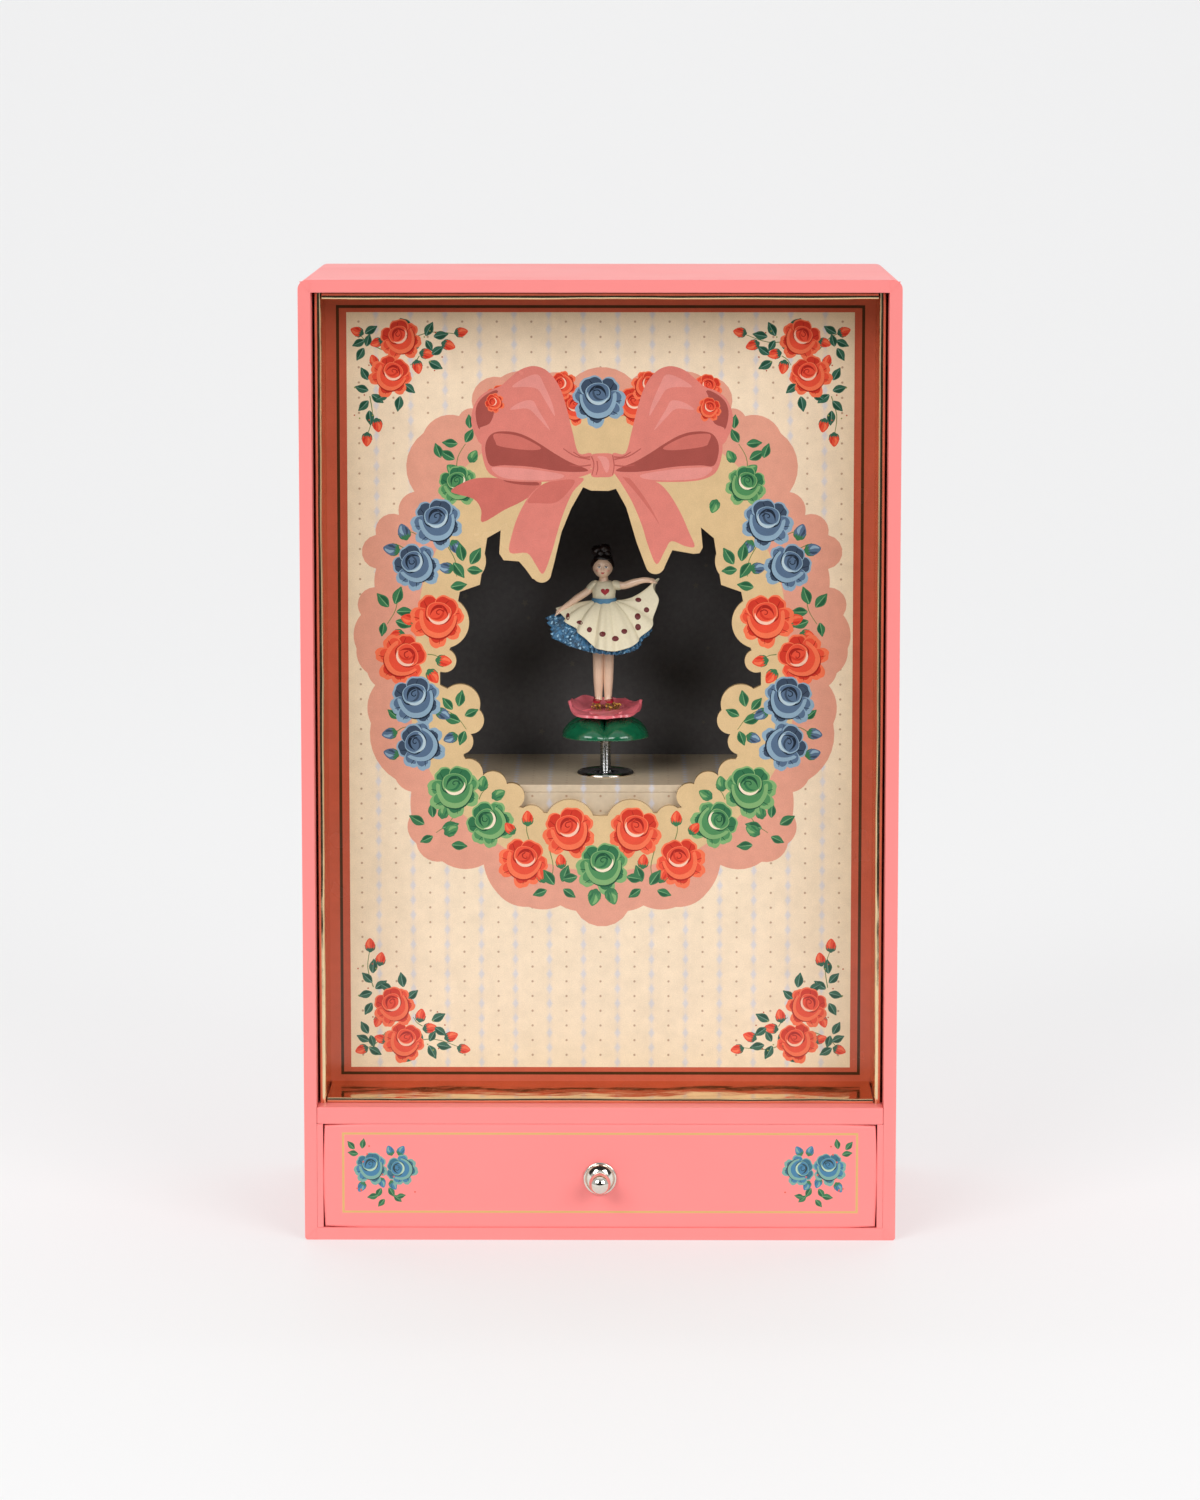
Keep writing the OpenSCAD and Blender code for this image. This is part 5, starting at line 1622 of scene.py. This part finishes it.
# Each sleeve's side, place and lean
SLEEVES = [(-1, -4.6, 201.5, 0.75), (1, 3.7, 201.9, 0.2)]
SASH = [(3.0, 195.4), (3.9, 195.5), (4.12, 196.0), (4.02, 196.6), (4.12, 197.2), (3.9, 197.6), (3.0, 197.5)]
# The skirt's painted spots: place, and half sizes across and up
SPOTS = [(-12.3, 191.7, 0.65, 1.1), (-8.4, 189.9, 1.1, 0.65), (-5.2, 187.7, 0.9, 0.95),
         (-0.9, 186.4, 1.1, 0.95), (3.3, 184.7, 1.2, 0.95), (6.2, 187.2, 1.05, 0.9),
         (10.7, 188.4, 1.0, 1.15), (10.6, 191.9, 1.05, 1.15), (13.5, 194.0, 0.95, 0.95),
         (10.8, 197.2, 1.05, 0.8)]


def along_loop(points, u):
    """A point at share u of a closed smooth loop."""
    n = len(points)
    s = (u % 1.0) * n
    return spline([points[(int(s) + k) % n] for k in (-1, 0, 1, 2)], s - int(s))


def skirt_point(hem, u, v, ruffles=0.0, ruffle_count=0, belly=0.35, waist=1.0):
    """A gathered skirt: from an oval waist out to its hem, with folds that open downwards."""
    hx, hy, hz = along_loop(hem, u)
    a = math.atan2(hy, hx)
    wx, wy = 3.7 * waist * math.cos(a), 3.1 * waist * math.sin(a)
    if hz > WAIST_Z:
        out, drop = v ** 0.8, v ** 1.6
    else:
        out = math.sin(math.radians(90 * v)) * belly + v * (1 - belly)
        drop = (1 - math.cos(math.radians(90 * v))) * belly + v * (1 - belly)
    turn = math.tau * u
    fold = math.sin(PLEATS * turn + 1.3 * math.sin(2 * turn + PLEAT_START))
    fold += 0.35 * math.sin((PLEATS * 2 - 3) * turn + PLEAT_START)
    fold *= 1.15 * v ** 0.8 * (1 - 0.3 * v)
    quick = math.sin(ruffle_count * turn + 4 * v) * ruffles * v ** 2
    x = wx + (hx - wx) * out + (fold + quick) * math.cos(a)
    y = wy + (hy - wy) * out + (fold + quick) * math.sin(a)
    return on_doll(x, y, WAIST_Z + (hz - WAIST_Z) * drop + 0.25 * fold + 0.4 * quick)


def bodice(finish):
    """The dress's top with its two puffed sleeves."""
    build = Build()
    build.loft([ellipse_ring(-0.5, dy, z, rx, ry, 40, 0.012) for z, rx, ry, dy in BODICE], CREAM)
    for side, sx, sz, lean in SLEEVES:

        def sleeve(polar, a):
            puff = (1 + 0.05 * math.sin(12 * a) * math.sin(polar)) * math.sin(polar)
            along = 2.3 * math.cos(polar)
            return on_doll(sx + side * along * 0.9, 0.1 + 1.75 * puff * math.cos(a),
                           sz - along * lean * 0.8 + 1.65 * puff * math.sin(a))

        build.loft(ball_rings(14, 36, sleeve), CREAM)
    return build.object("bodice", finish, "figure", "dress_fabric", sharp=70)


def sash(finish):
    """The sash round the waist and its flat bow at the back."""
    build = Build()
    blue = ink("4b7c9b")
    build.lathe([(r, set_height(z)) for r, z in SASH], at_axis(WAIST_X, 0, 0), 64, blue, closed=True)
    corners = [(3.6, -1), (3.6, 0), (3.6, 1), (3.9, 1), (3.9, 0), (3.9, -1)]
    for side in (-1, 1):
        build.loft([[on_doll(WAIST_X + side * (0.3 + 2.6 * t), y + 0.9 * math.sin(3 * t),
                             WAIST_Z + up * (0.25 + 1.2 * t) + 0.3 * t) for y, up in corners]
                    for t in (k / 6 for k in range(7))], blue)
    build.object("blue_sash", finish, "figure", "dress_fabric", sharp=50)


def dress(finish, net):
    """The dancer's clothes: a full spotted skirt, a bodice, a sash and a net petticoat in two layers."""
    build = Build()
    build.sheet(lambda u, v: skirt_point(SKIRT_HEM, u, 0.02 + 0.98 * v), 260, 34, 0.34, CREAM)
    skirt = build.object("full_skirt", finish, "figure", "dress_fabric", sharp=70, replaces="figure_dress")
    top = bodice(finish)
    sash(finish)
    spots = Build()
    cloth = tree_of(skirt)
    for x, z, wide, tall in SPOTS:
        stamp(spots, cloth, x, z, sized(oval(1, 1, 18), wide, tall), 0.09, ink("641519"))
    stamp(spots, tree_of(top), -0.1, 200.1, sized(HEART, 1.5, 1.45), 0.12, ink("a01c28"))
    spots.object("painted_spots", finish, "figure", "dress_fabric")

    def net_point(u, v):
        return skirt_point(NET_HEM, u, 0.4 + 0.6 * v, 0.55, 47, 0.3, 0.7)

    def under_point(u, v):
        return skirt_point(UNDER_HEM, u, 0.42 + 0.58 * v, 0.6, 41, 0.2, 0.6)

    frill = Build()
    frill.sheet(net_point, 560, 16, 0.16, NET_BLUE)
    petticoat = frill.object("net_petticoat", net, "figure", "petticoat_tulle", replaces="figure_petticoat")
    under = Build()
    under.sheet(under_point, 500, 14, 0.16, NET_BLUE)
    lower = under.object("net_underlayer", net, "figure", "petticoat_tulle")


# ---------- Everything in its place ----------

add_camera()
add_lights()
add_stage()

PRINTED = printed_finish()
PINK_WRAP = wrapped_finish("pink_wrap", 0.3864, 0.4536)
PRINT_PINK = wrapped_finish("pink_print", 0.39, 0.45, printed=True)
CHROME = brushed("nickel_plate", (0.78, 0.74, 0.66), 0.08, (900, 900, 2400), 0.000006)
STEEL = brushed("spring_steel", (0.72, 0.72, 0.72), 0.2, (900, 900, 2400))
BRASS = brushed("rolled_brass", (0.78, 0.58, 0.28), 0.24, (500, 500, 2600))
BLACK = mottled("black_enamel", (0.012, 0.012, 0.014), 0.14, Coat_Weight=0.4)
WHITE = mottled("white_nylon", (0.82, 0.81, 0.76), 0.42)
FLOCK = mottled("flock", ink("a8323f"), 0.95, 1600, 0.75, 1.25, 0.00025, Sheen_Weight=0.6)
BOARD = mottled("grey_board", ink("b9a88e"), 0.9, 700, 0.88, 1.1, 0.00008)
NIGHT = mottled("night_paper", NIGHT_GREY, 0.6, 800, 0.85, 1.1)
NIGHT_PRINT = painted("night_print", 0.85, 1.08, 0.6, 0.0)
WAX = mottled("waxy_green", ink("14603f"), 0.16, 500, 0.8, 1.15, 0.00012, Coat_Weight=0.6)
FOIL = foil_finish()
# The stage's deck and apron carry the panel's wallpaper. Its ground is painted darker than on the panel, as
# painted shade for the recess behind the panel
APRON_WITH_PAINTED_SHADE = lining_paper("apron_paper_painted_shade", ink("cab79c"))

printed_plate("scene_print", "scene_panel", panel_art, PRINTED, "case",
              hole=cut_out("scene_panel"), edge=ink("b79a6c"))
printed_plate("drawer_face", "drawer_front", drawer_art, PRINT_PINK, "drawer", rim=0.9)
printed_plate("night_backdrop", "lining_back", stars, NIGHT_PRINT, "case")

foil_board("foil_left", "foil_wall_left", FOIL, (1, 0))
foil_board("foil_right", "foil_wall_right", FOIL, (-1, 0))
foil_board("foil_top", "foil_ceiling", FOIL, (0, -1))
foil_board("foil_floor", "foil_shelf", FOIL, (0, 1))
paper_turn_ins(PINK_WRAP)

# The CAD nodes that keep their shapes, by finish and softening in millimetres
for material, bevel, nodes in (
        (PINK_WRAP, 0.55, "case_shell"),
        (PINK_WRAP, 0.5, "drawer_shelf"),
        (PINK_WRAP, 0.25, "drawer_left drawer_right drawer_back"),
        (PINK_WRAP, 0.2, "drawer_guide_left drawer_guide_right"),
        (PINK_WRAP, 0, "back_panel"),
        # the stage's paper, its ground darkened as painted shade
        (APRON_WITH_PAINTED_SHADE, 0.3, "stage_deck"),
        (APRON_WITH_PAINTED_SHADE, 0.1, "stage_fascia"),
        (BOARD, 0.2, "deck_support_left deck_support_right"),
        (BOARD, 0.1, "drawer_floor"),
        (NIGHT, 0.1, "lining_left lining_right lining_top"),
        (FLOCK, 0.2, "drawer_liner"),
        (BLACK, 0.15, "key_grommet"),
        (BLACK, 0.1, "spindle_bush"),
        (WHITE, 0.05, "fan"),
        (CHROME, 0.25, "winding_key"),
        (CHROME, 0.12, "spring_cap"),
        (BRASS, 0.15, "bedplate"),
        (BRASS, 0.1, "front_bridge spring_barrel"),
        (BRASS, 0.08, "governor_frame"),
        (BRASS, 0, "crown_gear pin_cylinder cylinder_gear worm_wheel spindle_pinion"),
        (STEEL, 0.1, "standoff_posts comb_base winding_arbor"),
        (STEEL, 0.08, "mounting_screws"),
        (STEEL, 0.05, "movement_screws knob_screw spindle_shaft"),
        (STEEL, 0, "comb mainspring cylinder_arbor governor_arbor fan_worm")):
    for node in nodes.split():
        dress_node(node, material, bevel)

drawer_knob(CHROME)
spindle_dish(CHROME, BLACK)
spring_wire(STEEL)
leaf_base(WAX)
flower_petals(painted("petal_paint", 0.88, 1.06, 0.3, 0.4), painted("stamen_paint", 0.8, 1.15, 0.4, 0.1))
DOLL_PAINT = painted("doll_paint", 0.95, 1.03, 0.32, 0.3)
doll = dancer_body(DOLL_PAINT)
slippers(DOLL_PAINT)
painted_face(doll, DOLL_PAINT)
hair(painted("hair_paint", 0.7, 1.3, 0.3, 0.3))
dress(painted("cloth_paint", 0.93, 1.03, 0.55, 0.0, 1400), net_finish())
